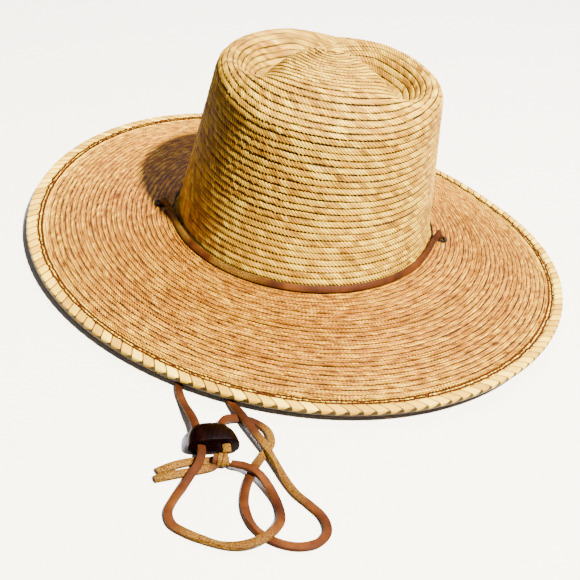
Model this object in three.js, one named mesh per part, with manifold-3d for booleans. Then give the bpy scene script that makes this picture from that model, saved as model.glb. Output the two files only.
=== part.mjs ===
// A wide-brimmed fedora of sewn straw braid, with a dented teardrop crown and a leather chin lace.
// Millimetres, +Z up. The hat rests on the plane z = 0, +Y is its front, +X the wearer's right.
import * as THREE from "three";
import { mergeVertices } from "three/addons/utils/BufferGeometryUtils.js";
import Module from "manifold-3d";

// Crown: outer half widths (X) and half lengths (Y) of its ovals, heights above the crown's base
const BASE = { halfWidth: 88.5, halfLength: 102.5 };
const WALL_TOP = { halfWidth: 75.2, halfLength: 89.3, height: 96.7 };
const CREST = { halfWidth: 67.5, halfLength: 81, height: 107.7 };
// Behind, the top has no dent: it runs level and rolls over into the wall. This shape takes over
// between two angles, 0 at the side and -90 at the back
const BACK = { halfLength: 76, drop: 9.5, roundness: 13, flatness: 2, from: -8, to: -68 };
const BASE_HEIGHT = 21.3; // the top of the brim at the crown's base, above the resting plane
const SIDE_SLOPE = { base: 0.058, top: 0.022 }; // the crown sits a little lower on the wearer's left
const STRAW = 2; // thickness of the sewn braid
const FOOT_RADIUS = 2.5; // the wall's turn into the brim
const GAP = 0.3; // between touching pieces

// Dent in the top: a dome with a moat in front and beside it, which ends in a pocket on either side.
// side is 90 at the front, 0 at the sides and -90 at the back; depth is below the side crest, place is
// where the moat lies between centre and crest, and fullness is the dome's on that side
const DOME = { centreX: -3, centreY: 4, rise: 10.8 };
const MOAT = [
  { side: -60, depth: 7, place: 0.86, fullness: 3.5 },
  { side: 0, depth: 14, place: 0.7, fullness: 1.5 },
  { side: 45, depth: 18, place: 0.66, fullness: 1.2 },
  { side: 90, depth: 13, place: 0.6, fullness: 1 },
];
const MOAT_WALL_FULLNESS = 1.15;
// The pinch in the middle of the front, which brings the crest down and inwards
const NOTCH = { depth: 3, inward: 8, halfAngle: 34, sharpness: 1.5 };

// Brim: its outline, and the low waves of its edge above the resting plane
const OUTLINE = { halfWidth: 188, halfLength: 202 };
const EDGE = { width: 7, thickness: 4, chamfer: 1.1 }; // the plaited edge
const EDGE_LIFT = 4.5; // mean height of its underside
const WAVES = [
  { lobes: 2, height: 3.95, top: 148.2 },
  { lobes: 3, height: 1.34, top: 0 },
  { lobes: 1, height: 1.4, top: 238 },
];
const LANDING = 0.6; // how softly the lowest stretch meets the resting plane
const CAMBER = 1.5; // how far the brim bows up between crown and edge

// Eyelets: where they sit, as an angle round the crown and a share of the brim's width
const EYELETS = [
  { name: "eyelet_left", angle: 187, share: 0.1 },
  { name: "eyelet_right", angle: 355, share: 0.07 },
];
// Radii of the bore, the barrel and the flange, and the flange's thickness with its rounded lip
const EYELET = { bore: 2.7, barrel: 3.2, flange: 5, flangeThickness: 0.8, lip: 0.4, lipDrop: 0.3 };

// Chin lace: one flat leather lace, its width, thickness and the chamfer of its corners
const LACE = { width: 4.2, thickness: 2.2, chamfer: 0.6 };
const LACE_STEP = { free: 10.8, held: 5 };
const LACE_TURN = { band: 37, left: 0, right: -5, tail: 90 };

// Slider: a domed wooden button that lies on its side, turned a little, with two bores
const SLIDER = { halfWidth: 13.3, length: 16.5, thickness: 11, fullness: 0.7, turn: 18 };
const SLIDER_BORE = { radius: 2.8, offset: 6.5, height: 5.3 };
const SLIDER_PLACE = { x: -29, y: -240.6 };

// Knot: crossed turns of the lace, cut flat where it lies on the plane
const KNOT = { x: -24.0, y: -247.0, halfWidth: 4.6, halfLength: 4.2, height: 6.6, flat: 0.4 };
const KNOT_TURNS = [
  { x: 0, y: 0, z: 0, turn: 35, long: 1, wide: 0.74, tall: 0.98 },
  { x: -0.6, y: -0.4, z: -0.3, turn: -50, long: 0.98, wide: 0.7, tall: 0.86 },
];

// Lace round the crown, from the left eyelet behind the crown to the right one:
// the angle, how far it lies out from the base oval, and how far above its seat on the brim
const BAND_ENDS = { inside: -1.6, above: 2 }; // along each eyelet's axis
const BAND_LEFT = [
  { angle: 188.6, out: 10, lift: 3 },
  { angle: 191.6, out: 7.2, lift: 2 },
  { angle: 196.6, out: 4, lift: 0.5 },
];
const BAND_MIDDLE = { from: 204, to: 340, steps: 12, out: 2.9, lift: 0 };
const BAND_RIGHT = [
  { angle: 347, out: 3.6, lift: 1 },
  { angle: 351, out: 5.6, lift: 2.4 },
  { angle: 353.4, out: 7, lift: 3 },
];

// The hand-laid route of the lace: from the left eyelet through the slider and a loop to the knot
const ROUTE_LEFT = [
  [-99.3, -13.9, 12.5], [-99.7, -15.4, 6.6], [-99.4, -20.0, 2.8], [-98.4, -28.0, 1.4],
  [-95.0, -50.0, 1.4], [-88.0, -82.0, 1.4], [-78.0, -117.0, 1.4], [-67.0, -151.0, 1.4],
  [-59.8, -174.0, 1.4], [-56.0, -188.0, 1.4], [-53.6, -198.0, 1.4], [-49.6, -207.4, 2.0],
  [-45.0, -216.8, 4.1], [-41.6, -223.6, 5.2], [-39.4, -229.7, 5.3], [-35.2, -242.6, 5.3],
  [-34.2, -248.2, 5.1], [-34.9, -254.2, 4.5], [-37.0, -260.6, 3.6], [-39.8, -268.6, 1.8],
  [-42.6, -277.6, 1.4], [-43.8, -286.0, 1.4], [-40.6, -293.4, 1.4], [-33.4, -297.0, 1.4],
  [-25.0, -299.0, 1.4], [-16.0, -300.2, 1.4], [-7.2, -299.4, 2.6], [0.8, -295.6, 4.5],
  [6.6, -288.2, 4.6], [8.8, -278.6, 1.9], [6.8, -269.2, 1.5], [1.6, -260.6, 3.2],
  [-5.2, -253.2, 4.7], [-12.2, -249.2, 4.0], [-19.0, -248.2, 3.2],
];
// From the right eyelet under the brim, round the crown, over itself, round a loop and into the slider
const ROUTE_RIGHT = [
  [97.0, -9.7, 22.8], [97.4, -10.6, 14.0], [98.6, -13.0, 7.0], [99.2, -19.0, 2.6],
  [98.0, -30.0, 1.4], [91.0, -60.0, 1.4], [72.0, -95.0, 1.4], [34.0, -121.0, 1.4],
  [-12.0, -142.0, 1.4], [-32.0, -161.0, 1.4], [-33.4, -179.0, 1.4], [-28.0, -193.6, 1.4],
  [-23.8, -201.4, 1.7], [-18.8, -209.4, 3.9], [-12.8, -218.4, 4.1], [-5.0, -229.4, 4.1],
  [2.4, -240.4, 2.7], [8.6, -251.0, 1.5], [15.0, -259.8, 1.4], [22.6, -266.2, 1.4],
  [29.0, -272.6, 1.4], [31.4, -280.8, 1.4], [27.6, -288.8, 1.4], [19.6, -293.2, 1.4],
  [10.4, -293.6, 1.4], [1.8, -290.4, 1.4], [-5.0, -283.8, 1.4], [-8.8, -274.6, 1.4],
  [-9.8, -264.6, 1.4], [-8.8, -254.6, 1.4], [-6.6, -244.6, 1.4], [-3.4, -235.2, 1.4],
  [-0.6, -226.0, 1.4], [-3.2, -217.0, 1.4], [-11.0, -211.6, 1.4], [-19.4, -211.8, 2.1],
  [-25.8, -216.6, 4.4], [-27.6, -223.8, 5.3], [-22.8, -238.6, 5.3], [-21.9, -242.8, 5.0],
];
// The two loose ends beyond the knot, which pass under the loop
const TAILS = [
  {
    name: "tail_1",
    route: [[-29.0, -247.0, 1.5], [-37.6, -249.4, 1.2], [-46.0, -254.2, 1.2], [-54.2, -261.0, 1.2]],
  },
  {
    name: "tail_2",
    route: [[-28.4, -251.5, 1.5], [-35.6, -255.8, 1.2], [-44.8, -260.7, 1.2], [-54.2, -266.2, 1.2]],
  },
];

const AROUND = 60; // steps round the hat
const rad = THREE.MathUtils.degToRad;
const lerp = THREE.MathUtils.lerp;

const straw = (color) => new THREE.MeshStandardMaterial({ color, roughness: 0.75, metalness: 0 });
const leather = () => new THREE.MeshStandardMaterial({ color: 0xb5692c, roughness: 0.6, metalness: 0 });
const wood = () => new THREE.MeshStandardMaterial({ color: 0x2a120b, roughness: 0.3, metalness: 0 });
const blackMetal = () => new THREE.MeshStandardMaterial({ color: 0x16130f, roughness: 0.35, metalness: 1 });

const wasm = await Module();
wasm.setup();

function solidOf(geometry) {
  const bare = geometry.clone();
  bare.deleteAttribute("normal");
  bare.deleteAttribute("uv");
  const merged = mergeVertices(bare, 1e-4);
  const vertProperties = new Float32Array(merged.attributes.position.array);
  const triVerts = new Uint32Array(merged.index.array);
  return new wasm.Manifold(new wasm.Mesh({ numProp: 3, vertProperties, triVerts }));
}

function geometryOf(solid) {
  const mesh = solid.getMesh();
  const geometry = new THREE.BufferGeometry();
  geometry.setAttribute("position", new THREE.Float32BufferAttribute(mesh.vertProperties, 3));
  geometry.setIndex(new THREE.Uint32BufferAttribute(mesh.triVerts, 1));
  geometry.computeVertexNormals();
  return geometry;
}

// Round a closed ring of sections; each section is a loop of points, counter-clockwise seen along the ring
function ringGeometry(sections) {
  const count = sections[0].length;
  const positions = sections.flat().flatMap((p) => [p.x, p.y, p.z]);
  const index = [];
  sections.forEach((_, i) => {
    const next = (i + 1) % sections.length;
    for (let j = 0; j < count; j++) {
      const k = (j + 1) % count;
      index.push(i * count + j, next * count + j, next * count + k);
      index.push(i * count + j, next * count + k, i * count + k);
    }
  });
  const geometry = new THREE.BufferGeometry();
  geometry.setAttribute("position", new THREE.Float32BufferAttribute(positions, 3));
  geometry.setIndex(index);
  geometry.computeVertexNormals();
  return geometry;
}

// Height that the tilted base gives to a point of the crown
function settle(p) {
  const slope = lerp(SIDE_SLOPE.base, SIDE_SLOPE.top, p.z / CREST.height);
  return new THREE.Vector3(p.x, p.y, p.z + BASE_HEIGHT + slope * p.x);
}

// Degrees away from the middle of the front, either way round
const awayFromFront = (angle) => Math.abs(((angle - 90 + 540) % 360) - 180);

// The moat's depth, its place and the dome's fullness at an angle round the crown
function moatAt(angle) {
  const side = 90 - awayFromFront(angle);
  const next = Math.max(1, MOAT.findIndex((row) => row.side >= side));
  const [a, b] = [MOAT[next - 1], MOAT[next]];
  const share = THREE.MathUtils.smoothstep(side, a.side, b.side);
  const between = (key) => lerp(a[key], b[key], share);
  return { depth: between("depth"), place: between("place"), fullness: between("fullness") };
}

// How much of the pinch, and how much of the undented back, there is at an angle: from 0 to 1
function notchAt(angle) {
  return Math.max(0, 1 - awayFromFront(angle) / NOTCH.halfAngle) ** NOTCH.sharpness;
}

function backAt(angle) {
  return 1 - THREE.MathUtils.smoothstep(90 - awayFromFront(angle), BACK.to, BACK.from);
}

function crestLength(angle) {
  return lerp(CREST.halfLength - NOTCH.inward * notchAt(angle), BACK.halfLength, backAt(angle));
}

// A point of the dented top; share runs from the dome's centre to the crest of the rim
function topPoint(angle, share) {
  const { depth, place, fullness } = moatAt(angle);
  const inDome = share < place;
  const along = inDome ? share / place : (1 - share) / (1 - place);
  const bump = 0.5 * (1 + Math.cos(Math.PI * along ** (inDome ? fullness : MOAT_WALL_FULLNESS)));
  const dented = lerp(-depth, inDome ? DOME.rise : 0, bump) - NOTCH.depth * notchAt(angle) * share ** 2;
  const rolled = DOME.rise - BACK.drop * share ** BACK.roundness;
  return new THREE.Vector3(
    DOME.centreX * (1 - share) + CREST.halfWidth * share * Math.cos(rad(angle)),
    DOME.centreY * (1 - share) + crestLength(angle) * share * Math.sin(rad(angle)),
    CREST.height + lerp(dented, rolled, backAt(angle)),
  );
}

// The shoulder from the crest to the top of the wall: round at the sides, flatter behind
function shoulderPoint(angle, turn) {
  const back = backAt(angle);
  const flatness = lerp(1, BACK.flatness, back);
  const out = Math.sin(rad(turn)) ** flatness;
  const up = Math.max(0, Math.cos(rad(turn))) ** flatness;
  const crestHeight = CREST.height + (DOME.rise - BACK.drop) * back;
  return new THREE.Vector3(
    lerp(CREST.halfWidth, WALL_TOP.halfWidth, out) * Math.cos(rad(angle)),
    lerp(crestLength(angle), WALL_TOP.halfLength, out) * Math.sin(rad(angle)),
    lerp(WALL_TOP.height, crestHeight, up) - NOTCH.depth * notchAt(angle) * up ** 2,
  );
}

function wallPoint(angle, height) {
  const share = height / WALL_TOP.height;
  return new THREE.Vector3(
    lerp(BASE.halfWidth, WALL_TOP.halfWidth, share) * Math.cos(rad(angle)),
    lerp(BASE.halfLength, WALL_TOP.halfLength, share) * Math.sin(rad(angle)),
    height,
  );
}

// The small outward turn at the wall's foot
function footPoint(angle, turn) {
  const start = wallPoint(angle, FOOT_RADIUS);
  const out = FOOT_RADIUS * (1 - Math.cos(rad(turn)));
  start.x += out * Math.cos(rad(angle));
  start.y += out * Math.sin(rad(angle));
  start.z = FOOT_RADIUS * (1 - Math.sin(rad(turn)));
  return start;
}

const TOP_SHARES = [0.16, 0.32, 0.45, 0.56, 0.65, 0.73, 0.8, 0.87, 0.94, 1];
const SHOULDER_TURNS = [24, 46, 68, 90];
const WALL_HEIGHTS = [74, 50, 26, FOOT_RADIUS];
const FOOT_TURNS = [45, 90];

function crownColumn(angle) {
  return [
    ...TOP_SHARES.map((share) => topPoint(angle, share)),
    ...SHOULDER_TURNS.map((turn) => shoulderPoint(angle, turn)),
    ...WALL_HEIGHTS.map((height) => wallPoint(angle, height)),
    ...FOOT_TURNS.map((turn) => footPoint(angle, turn)),
  ];
}

function crownGeometry() {
  const columns = Array.from({ length: AROUND }, (_, i) => crownColumn((360 * i) / AROUND));
  const pole = topPoint(0, 0);
  const levels = columns[0].length;
  const outer = [];
  const inner = [];
  for (let i = 0; i < AROUND; i++) {
    for (let j = 0; j < levels; j++) {
      const here = columns[i][j];
      const across = columns[(i + 1) % AROUND][j].clone().sub(columns[(i + AROUND - 1) % AROUND][j]);
      const before = j ? columns[i][j - 1] : pole;
      const down = columns[i][Math.min(j + 1, levels - 1)].clone().sub(before);
      const normal = down.cross(across).normalize();
      outer.push(settle(here));
      inner.push(settle(here.clone().addScaledVector(normal, -STRAW)));
    }
  }
  const count = outer.length;
  const tips = [settle(pole), settle(pole.clone().setZ(pole.z - STRAW))];
  const positions = [...outer, ...inner, ...tips].flatMap((p) => [p.x, p.y, p.z]);
  const index = [];
  for (let i = 0; i < AROUND; i++) {
    const a = i * levels;
    const b = ((i + 1) % AROUND) * levels;
    index.push(2 * count, a, b, 2 * count + 1, count + b, count + a);
    for (let j = 0; j < levels - 1; j++) {
      index.push(a + j, a + j + 1, b + j + 1, a + j, b + j + 1, b + j);
      index.push(count + a + j, count + b + j + 1, count + a + j + 1);
      index.push(count + a + j, count + b + j, count + b + j + 1);
    }
    const last = levels - 1;
    index.push(a + last, count + a + last, count + b + last, a + last, count + b + last, b + last);
  }
  const geometry = new THREE.BufferGeometry();
  geometry.setAttribute("position", new THREE.Float32BufferAttribute(positions, 3));
  geometry.setIndex(index);
  geometry.computeVertexNormals();
  return geometry;
}

// Height of the underside of the plaited edge above the resting plane, flat where it rests
function edgeBottom(angle) {
  const wave = WAVES.reduce(
    (sum, row) => sum + row.height * Math.cos(rad(row.lobes * (angle - row.top))), EDGE_LIFT);
  if (wave < -LANDING) return 0;
  return wave > LANDING ? wave : (wave + LANDING) ** 2 / (4 * LANDING);
}

// A point of the outline moved inwards along the outline's normal, in plan
function outlinePoint(angle, inset) {
  const normal = new THREE.Vector2(
    Math.cos(rad(angle)) / OUTLINE.halfWidth, Math.sin(rad(angle)) / OUTLINE.halfLength).normalize();
  return new THREE.Vector3(
    OUTLINE.halfWidth * Math.cos(rad(angle)) - inset * normal.x,
    OUTLINE.halfLength * Math.sin(rad(angle)) - inset * normal.y,
    edgeBottom(angle) + EDGE.thickness / 2,
  );
}

// The middle of the brim's thickness; share runs from the crown's foot to the plaited edge
function brimPoint(angle, share) {
  const foot = footPoint(angle, 90);
  foot.x += GAP * Math.cos(rad(angle));
  foot.y += GAP * Math.sin(rad(angle));
  foot.z = -STRAW / 2;
  const point = settle(foot).lerp(outlinePoint(angle, EDGE.width + GAP), share);
  point.z += CAMBER * Math.sin(Math.PI * share);
  return point;
}

const BRIM_SHARES = [0, 0.2, 0.45, 0.72, 1];

function brimSection(angle) {
  const middle = BRIM_SHARES.map((share) => brimPoint(angle, share));
  const raised = (p, z) => p.clone().setZ(p.z + z);
  const under = middle.map((p) => raised(p, -STRAW / 2));
  const upper = middle.map((p) => raised(p, STRAW / 2)).reverse();
  return [...upper, ...under];
}

// The eight corners of a chamfered rectangle, by its half width, half height and chamfer
const chamfered = (w, h, chamfer) => [
  [w, h - chamfer], [w - chamfer, h], [chamfer - w, h], [-w, h - chamfer],
  [-w, chamfer - h], [chamfer - w, -h], [w - chamfer, -h], [w, chamfer - h],
];

function edgeSection(angle) {
  const halfWidth = EDGE.width / 2;
  return chamfered(halfWidth, EDGE.thickness / 2, EDGE.chamfer).map(([out, up]) => {
    const p = outlinePoint(angle, halfWidth - out);
    return p.setZ(p.z + up);
  });
}

function around(section) {
  return ringGeometry(Array.from({ length: AROUND }, (_, i) => section((360 * i) / AROUND)));
}

// Place and tilt of an eyelet: the brim's surface where it sits
function eyeletFrame({ angle, share }) {
  const [stepAround, stepOut] = [2, 0.04];
  const here = brimPoint(angle, share);
  const along = brimPoint(angle + stepAround, share).sub(brimPoint(angle - stepAround, share));
  const out = brimPoint(angle, share + stepOut).sub(brimPoint(angle, share - stepOut));
  const normal = out.cross(along).normalize();
  const turn = new THREE.Quaternion().setFromUnitVectors(new THREE.Vector3(0, 0, 1), normal);
  return { here, turn, normal };
}

function eyeletGeometry() {
  const { bore, barrel, flange, flangeThickness, lip, lipDrop } = EYELET;
  const seat = STRAW / 2 + GAP;
  const face = seat + flangeThickness;
  const profile = [
    [bore, -face], [flange, -face], [flange, -seat], [barrel, -seat], [barrel, seat],
    [flange, seat], [flange - lip, face], [bore + lip, face], [bore, face - lipDrop], [bore, -face],
  ].map(([x, y]) => new THREE.Vector2(x, y));
  return new THREE.LatheGeometry(profile, 20).rotateX(Math.PI / 2);
}

function brimGeometry() {
  let solid = solidOf(around(brimSection));
  for (const eyelet of EYELETS) {
    const { here, turn } = eyeletFrame(eyelet);
    const hole = new THREE.CylinderGeometry(EYELET.barrel + GAP, EYELET.barrel + GAP, 4 * STRAW, 16);
    hole.rotateX(Math.PI / 2).applyQuaternion(turn).translate(here.x, here.y, here.z);
    solid = solid.subtract(solidOf(hole));
  }
  return geometryOf(solid);
}

// A flat lace along a route: its section is turned by an angle so that it lies or stands as it should
function laceGeometry(points, turn, step = LACE_STEP.free) {
  const corners = chamfered(LACE.width / 2, LACE.thickness / 2, LACE.chamfer).map(
    ([x, y]) => new THREE.Vector2(x, y).rotateAround(new THREE.Vector2(), rad(turn)));
  const path = new THREE.CatmullRomCurve3(points.map((p) => new THREE.Vector3(...p)), false, "centripetal");
  const steps = Math.round(path.getLength() / step);
  return new THREE.ExtrudeGeometry(new THREE.Shape(corners), { steps, extrudePath: path });
}

// A point of the lace on the brim, close to the wall's foot
function bandPoint({ angle, out, lift }) {
  const p = wallPoint(angle, 0);
  p.x += out * Math.cos(rad(angle));
  p.y += out * Math.sin(rad(angle));
  return settle(p.setZ(LACE.width / 2 + GAP + lift)).toArray();
}

// The held stretch: up out of the left eyelet, round the back of the crown's base, down the right one
function bandRoute() {
  const [left, right] = EYELETS.map((eyelet) => eyeletFrame(eyelet));
  const climb = (frame, height) => frame.here.clone().addScaledVector(frame.normal, height).toArray();
  const { from, to, steps, out, lift } = BAND_MIDDLE;
  const middle = Array.from({ length: steps + 1 }, (_, i) => {
    return { angle: lerp(from, to, i / steps), out, lift };
  });
  return [
    climb(left, BAND_ENDS.inside),
    climb(left, BAND_ENDS.above),
    ...[...BAND_LEFT, ...middle, ...BAND_RIGHT].map(bandPoint),
    climb(right, BAND_ENDS.above),
    climb(right, BAND_ENDS.inside),
  ];
}

// Half of a full round form, cut flat across its base face and where it lies on the plane
function sliderGeometry() {
  const { halfWidth, length, thickness, fullness } = SLIDER;
  const body = new THREE.SphereGeometry(1, 32, 20);
  const position = body.attributes.position;
  const fuller = (v) => Math.sign(v) * Math.abs(v) ** fullness;
  for (let i = 0; i < position.count; i++) {
    const p = new THREE.Vector3().fromBufferAttribute(position, i);
    position.setXYZ(i, halfWidth * fuller(p.x), length * p.y, (thickness / 2) * fuller(p.z));
  }
  const big = 4 * halfWidth;
  const block = () => new THREE.BoxGeometry(big, big, big);
  let solid = solidOf(body).subtract(solidOf(block().translate(0, -big / 2, 0)));
  solid = solid.subtract(solidOf(block().translate(0, 0, -SLIDER_BORE.height - big / 2)));
  for (const side of [-1, 1]) {
    const bore = new THREE.CylinderGeometry(SLIDER_BORE.radius, SLIDER_BORE.radius, big, 16);
    solid = solid.subtract(solidOf(bore.translate(side * SLIDER_BORE.offset, 0, 0)));
  }
  return geometryOf(solid);
}

function knotGeometry() {
  const { halfWidth, halfLength, height, flat } = KNOT;
  const lumps = KNOT_TURNS.map(({ x, y, z, turn, long, wide, tall }) => {
    const lump = new THREE.SphereGeometry(1, 14, 10);
    lump.scale(halfWidth * long, halfLength * wide, (height / 2) * tall);
    return solidOf(lump.rotateZ(rad(turn)).translate(x, y, z));
  });
  const big = 4 * height;
  const below = new THREE.BoxGeometry(big, big, big).translate(0, 0, flat - (height + big) / 2);
  return geometryOf(lumps[0].add(lumps[1]).subtract(solidOf(below)));
}

const hat = new THREE.Group();

function addMesh(name, geometry, material) {
  const mesh = new THREE.Mesh(geometry, material);
  mesh.name = name;
  hat.add(mesh);
  return mesh;
}

addMesh("crown", crownGeometry(), straw(0xd9b981));
addMesh("brim", brimGeometry(), straw(0xd0a878));
addMesh("brim_edge", around(edgeSection), straw(0xe6cfa0));

for (const eyelet of EYELETS) {
  const { here, turn } = eyeletFrame(eyelet);
  const mesh = addMesh(eyelet.name, eyeletGeometry(), blackMetal());
  mesh.position.copy(here);
  mesh.quaternion.copy(turn);
}

addMesh("lace_band", laceGeometry(bandRoute(), LACE_TURN.band, LACE_STEP.held), leather());
addMesh("lace_left", laceGeometry(ROUTE_LEFT, LACE_TURN.left), leather());
addMesh("lace_right", laceGeometry(ROUTE_RIGHT, LACE_TURN.right), leather());

for (const { name, route } of TAILS) addMesh(name, laceGeometry(route, LACE_TURN.tail), leather());

const slider = addMesh("slider", sliderGeometry(), wood());
slider.position.set(SLIDER_PLACE.x, SLIDER_PLACE.y, SLIDER_BORE.height);
slider.rotation.z = rad(SLIDER.turn);

const knot = addMesh("knot", knotGeometry(), leather());
knot.position.set(KNOT.x, KNOT.y, KNOT.height / 2 - KNOT.flat);

export default hat;
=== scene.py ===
# %% [markdown]
# A straw fedora with a leather chin lace. The hat is one long flat braid of palm straw, wound from the
# middle of the crown down to the edge of the brim and sewn to itself turn by turn, so that each turn
# lies over the next one out. This lesson makes the braid the way the hat maker does: a straight
# length first, which is then laid along a spiral on the shape that the frame gives.

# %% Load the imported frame
import math

import bpy
import numpy as np
from mathutils import Matrix, Vector


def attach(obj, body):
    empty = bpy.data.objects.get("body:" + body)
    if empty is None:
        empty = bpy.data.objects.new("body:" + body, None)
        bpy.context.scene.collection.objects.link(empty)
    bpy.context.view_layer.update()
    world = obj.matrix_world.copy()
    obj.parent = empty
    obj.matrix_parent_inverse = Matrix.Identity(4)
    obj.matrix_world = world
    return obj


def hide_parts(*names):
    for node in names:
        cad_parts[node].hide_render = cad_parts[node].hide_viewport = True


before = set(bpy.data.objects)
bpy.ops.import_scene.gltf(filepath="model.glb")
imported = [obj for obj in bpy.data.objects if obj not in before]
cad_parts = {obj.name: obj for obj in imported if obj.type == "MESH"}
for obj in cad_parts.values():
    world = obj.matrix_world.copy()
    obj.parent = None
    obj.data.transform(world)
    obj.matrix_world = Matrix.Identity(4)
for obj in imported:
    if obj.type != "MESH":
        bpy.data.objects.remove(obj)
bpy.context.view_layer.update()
MM = 0.001
print("nodes:", sorted(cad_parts))

# %% [markdown]
# The camera looks down at the back of the hat from a little over half a metre. It could be aimed by eye or
# by a constraint. It was found from the outlines of the brim and the crown instead, so its place, its
# direction and its tilt are plain numbers here.

# %% Camera
CAMERA_PLACE = (-18.4 * MM, -606.9 * MM, 329.73 * MM)
CAMERA_AZIMUTH, CAMERA_DOWN, CAMERA_ROLL = math.radians(1.82), math.radians(31.58), math.radians(11.18)
LENS, SENSOR = 59.4, 36.0
CLIP_NEAR, CLIP_FAR = 0.01, 50


def camera_axes(azimuth, down, roll):
    """The camera's right, up and forward directions."""
    flat = math.cos(down)
    forward = Vector((math.sin(azimuth) * flat, math.cos(azimuth) * flat, -math.sin(down)))
    level = forward.cross(Vector((0, 0, 1))).normalized()
    above = level.cross(forward)
    right = level * math.cos(roll) + above * math.sin(roll)
    return right, right.cross(forward), forward


def add_camera():
    right, up, forward = camera_axes(CAMERA_AZIMUTH, CAMERA_DOWN, CAMERA_ROLL)
    data = bpy.data.cameras.new("camera")
    data.lens, data.sensor_width, data.sensor_fit = LENS, SENSOR, "HORIZONTAL"
    data.clip_start, data.clip_end = CLIP_NEAR, CLIP_FAR
    camera = bpy.data.objects.new("camera", data)
    bpy.context.scene.collection.objects.link(camera)
    turn = Matrix((right, up, -forward)).transposed().to_4x4()
    camera.matrix_world = Matrix.Translation(CAMERA_PLACE) @ turn
    bpy.context.scene.camera = camera
    return camera


print("camera at", tuple(round(v, 3) for v in add_camera().location))

# %% [markdown]
# The lace is one leather thong, 4.2 mm wide and 2.2 mm thick. It comes down through the two eyelets,
# its two free lengths lie on the floor in loose curves, and both pass through the slider to the knot.
# A curve object with a bevel would do for a round cord. This one is flat, so it is a mesh tube: a rounded
# section carried along a smooth line through the route's points, with its broad face kept up.

# %% Route of the lace
LACE_WIDTH = 4.2
ROUTE_LEFT = [
    (-99.3, -13.9, 12.5), (-99.7, -15.4, 6.6), (-99.4, -20.0, 2.8), (-98.4, -28.0, 1.4),
    (-95.0, -50.0, 1.4), (-88.0, -82.0, 1.4), (-78.0, -117.0, 1.4), (-67.0, -151.0, 1.4),
    (-59.8, -174.0, 1.4), (-56.0, -188.0, 1.4), (-53.6, -198.0, 1.4), (-49.6, -207.4, 2.0),
    (-45.0, -216.8, 4.1), (-41.6, -223.6, 5.2), (-39.4, -229.7, 5.3), (-35.2, -242.6, 5.3),
    (-34.2, -248.2, 5.1), (-34.9, -254.2, 4.5), (-37.0, -260.6, 3.6), (-39.8, -268.6, 1.8),
    (-42.6, -277.6, 1.4), (-43.8, -286.0, 1.4), (-40.6, -293.4, 1.4), (-33.4, -297.0, 1.4),
    (-25.0, -299.0, 1.4), (-16.0, -300.2, 1.4), (-7.2, -299.4, 2.6), (0.8, -295.6, 4.5),
    (6.6, -288.2, 4.6), (8.8, -278.6, 1.9), (6.8, -269.2, 1.5), (1.6, -260.6, 3.2),
    (-5.2, -253.2, 4.7), (-12.2, -249.2, 4.0), (-19.0, -248.2, 3.2),
]
ROUTE_RIGHT = [
    (97.0, -9.7, 22.8), (97.4, -10.6, 14.0), (98.6, -13.0, 7.0), (99.2, -19.0, 2.6),
    (98.0, -30.0, 1.4), (91.0, -60.0, 1.4), (72.0, -95.0, 1.4), (34.0, -121.0, 1.4),
    (-12.0, -142.0, 1.4), (-32.0, -161.0, 1.4), (-33.4, -179.0, 1.4), (-28.0, -193.6, 1.4),
    (-23.8, -201.4, 1.7), (-18.8, -209.4, 3.9), (-12.8, -218.4, 4.1), (-5.0, -229.4, 4.1),
    (2.4, -240.4, 2.7), (8.6, -251.0, 1.5), (15.0, -259.8, 1.4), (22.6, -266.2, 1.4),
    (29.0, -272.6, 1.4), (31.4, -280.8, 1.4), (27.6, -288.8, 1.4), (19.6, -293.2, 1.4),
    (10.4, -293.6, 1.4), (1.8, -290.4, 1.4), (-5.0, -283.8, 1.4), (-8.8, -274.6, 1.4),
    (-9.8, -264.6, 1.4), (-8.8, -254.6, 1.4), (-6.6, -244.6, 1.4), (-3.4, -235.2, 1.4),
    (-0.6, -226.0, 1.4), (-3.2, -217.0, 1.4), (-11.0, -211.6, 1.4), (-19.4, -211.8, 2.1),
    (-25.8, -216.6, 4.4), (-27.6, -223.8, 5.3), (-22.8, -238.6, 5.3), (-21.9, -242.8, 5.0),
]
# Each tail starts inside the knot
TAILS = {
    "tail_1": [
        (-26.0, -246.9, 3.6), (-29.0, -247.0, 1.5), (-37.6, -249.4, 1.2), (-46.0, -254.2, 1.2),
        (-54.2, -261.0, 1.2)],
    "tail_2": [
        (-25.6, -248.8, 2.8), (-28.4, -251.5, 1.5), (-35.6, -255.8, 1.2), (-44.8, -260.7, 1.2),
        (-54.2, -266.2, 1.2)],
}
SAMPLES_BETWEEN = 24  # samples between two points of a route, before they are spaced evenly


def lengths_along(points):
    """How far each point of a line is from its start."""
    return np.concatenate([[0], np.cumsum(np.linalg.norm(np.diff(points, axis=0), axis=1))])


def smooth_line(points, step):
    """A smooth line that passes through all the points, with samples a step apart, all in mm."""
    p = np.array(points, float)
    p = np.vstack([2 * p[0] - p[1], p, 2 * p[-1] - p[-2]])
    dense = []
    for a, b, c, d in zip(p[:-3], p[1:-2], p[2:-1], p[3:]):
        t = np.cumsum([0, *(np.linalg.norm(v) ** 0.5 for v in (b - a, c - b, d - c))])
        u = np.linspace(t[1], t[2], SAMPLES_BETWEEN, endpoint=False)[:, None]
        ab = a + (b - a) * (u - t[0]) / (t[1] - t[0])
        bc = b + (c - b) * (u - t[1]) / (t[2] - t[1])
        cd = c + (d - c) * (u - t[2]) / (t[3] - t[2])
        abc = ab + (bc - ab) * (u - t[0]) / (t[2] - t[0])
        bcd = bc + (cd - bc) * (u - t[1]) / (t[3] - t[1])
        dense.append(abc + (bcd - abc) * (u - t[1]) / (t[2] - t[1]))
    dense = np.vstack([*dense, p[-2:-1]])
    along = lengths_along(dense)
    at = np.linspace(0, along[-1], round(along[-1] / step) + 1)
    return np.stack([np.interp(at, along, dense[:, k]) for k in range(3)], axis=1)


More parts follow.
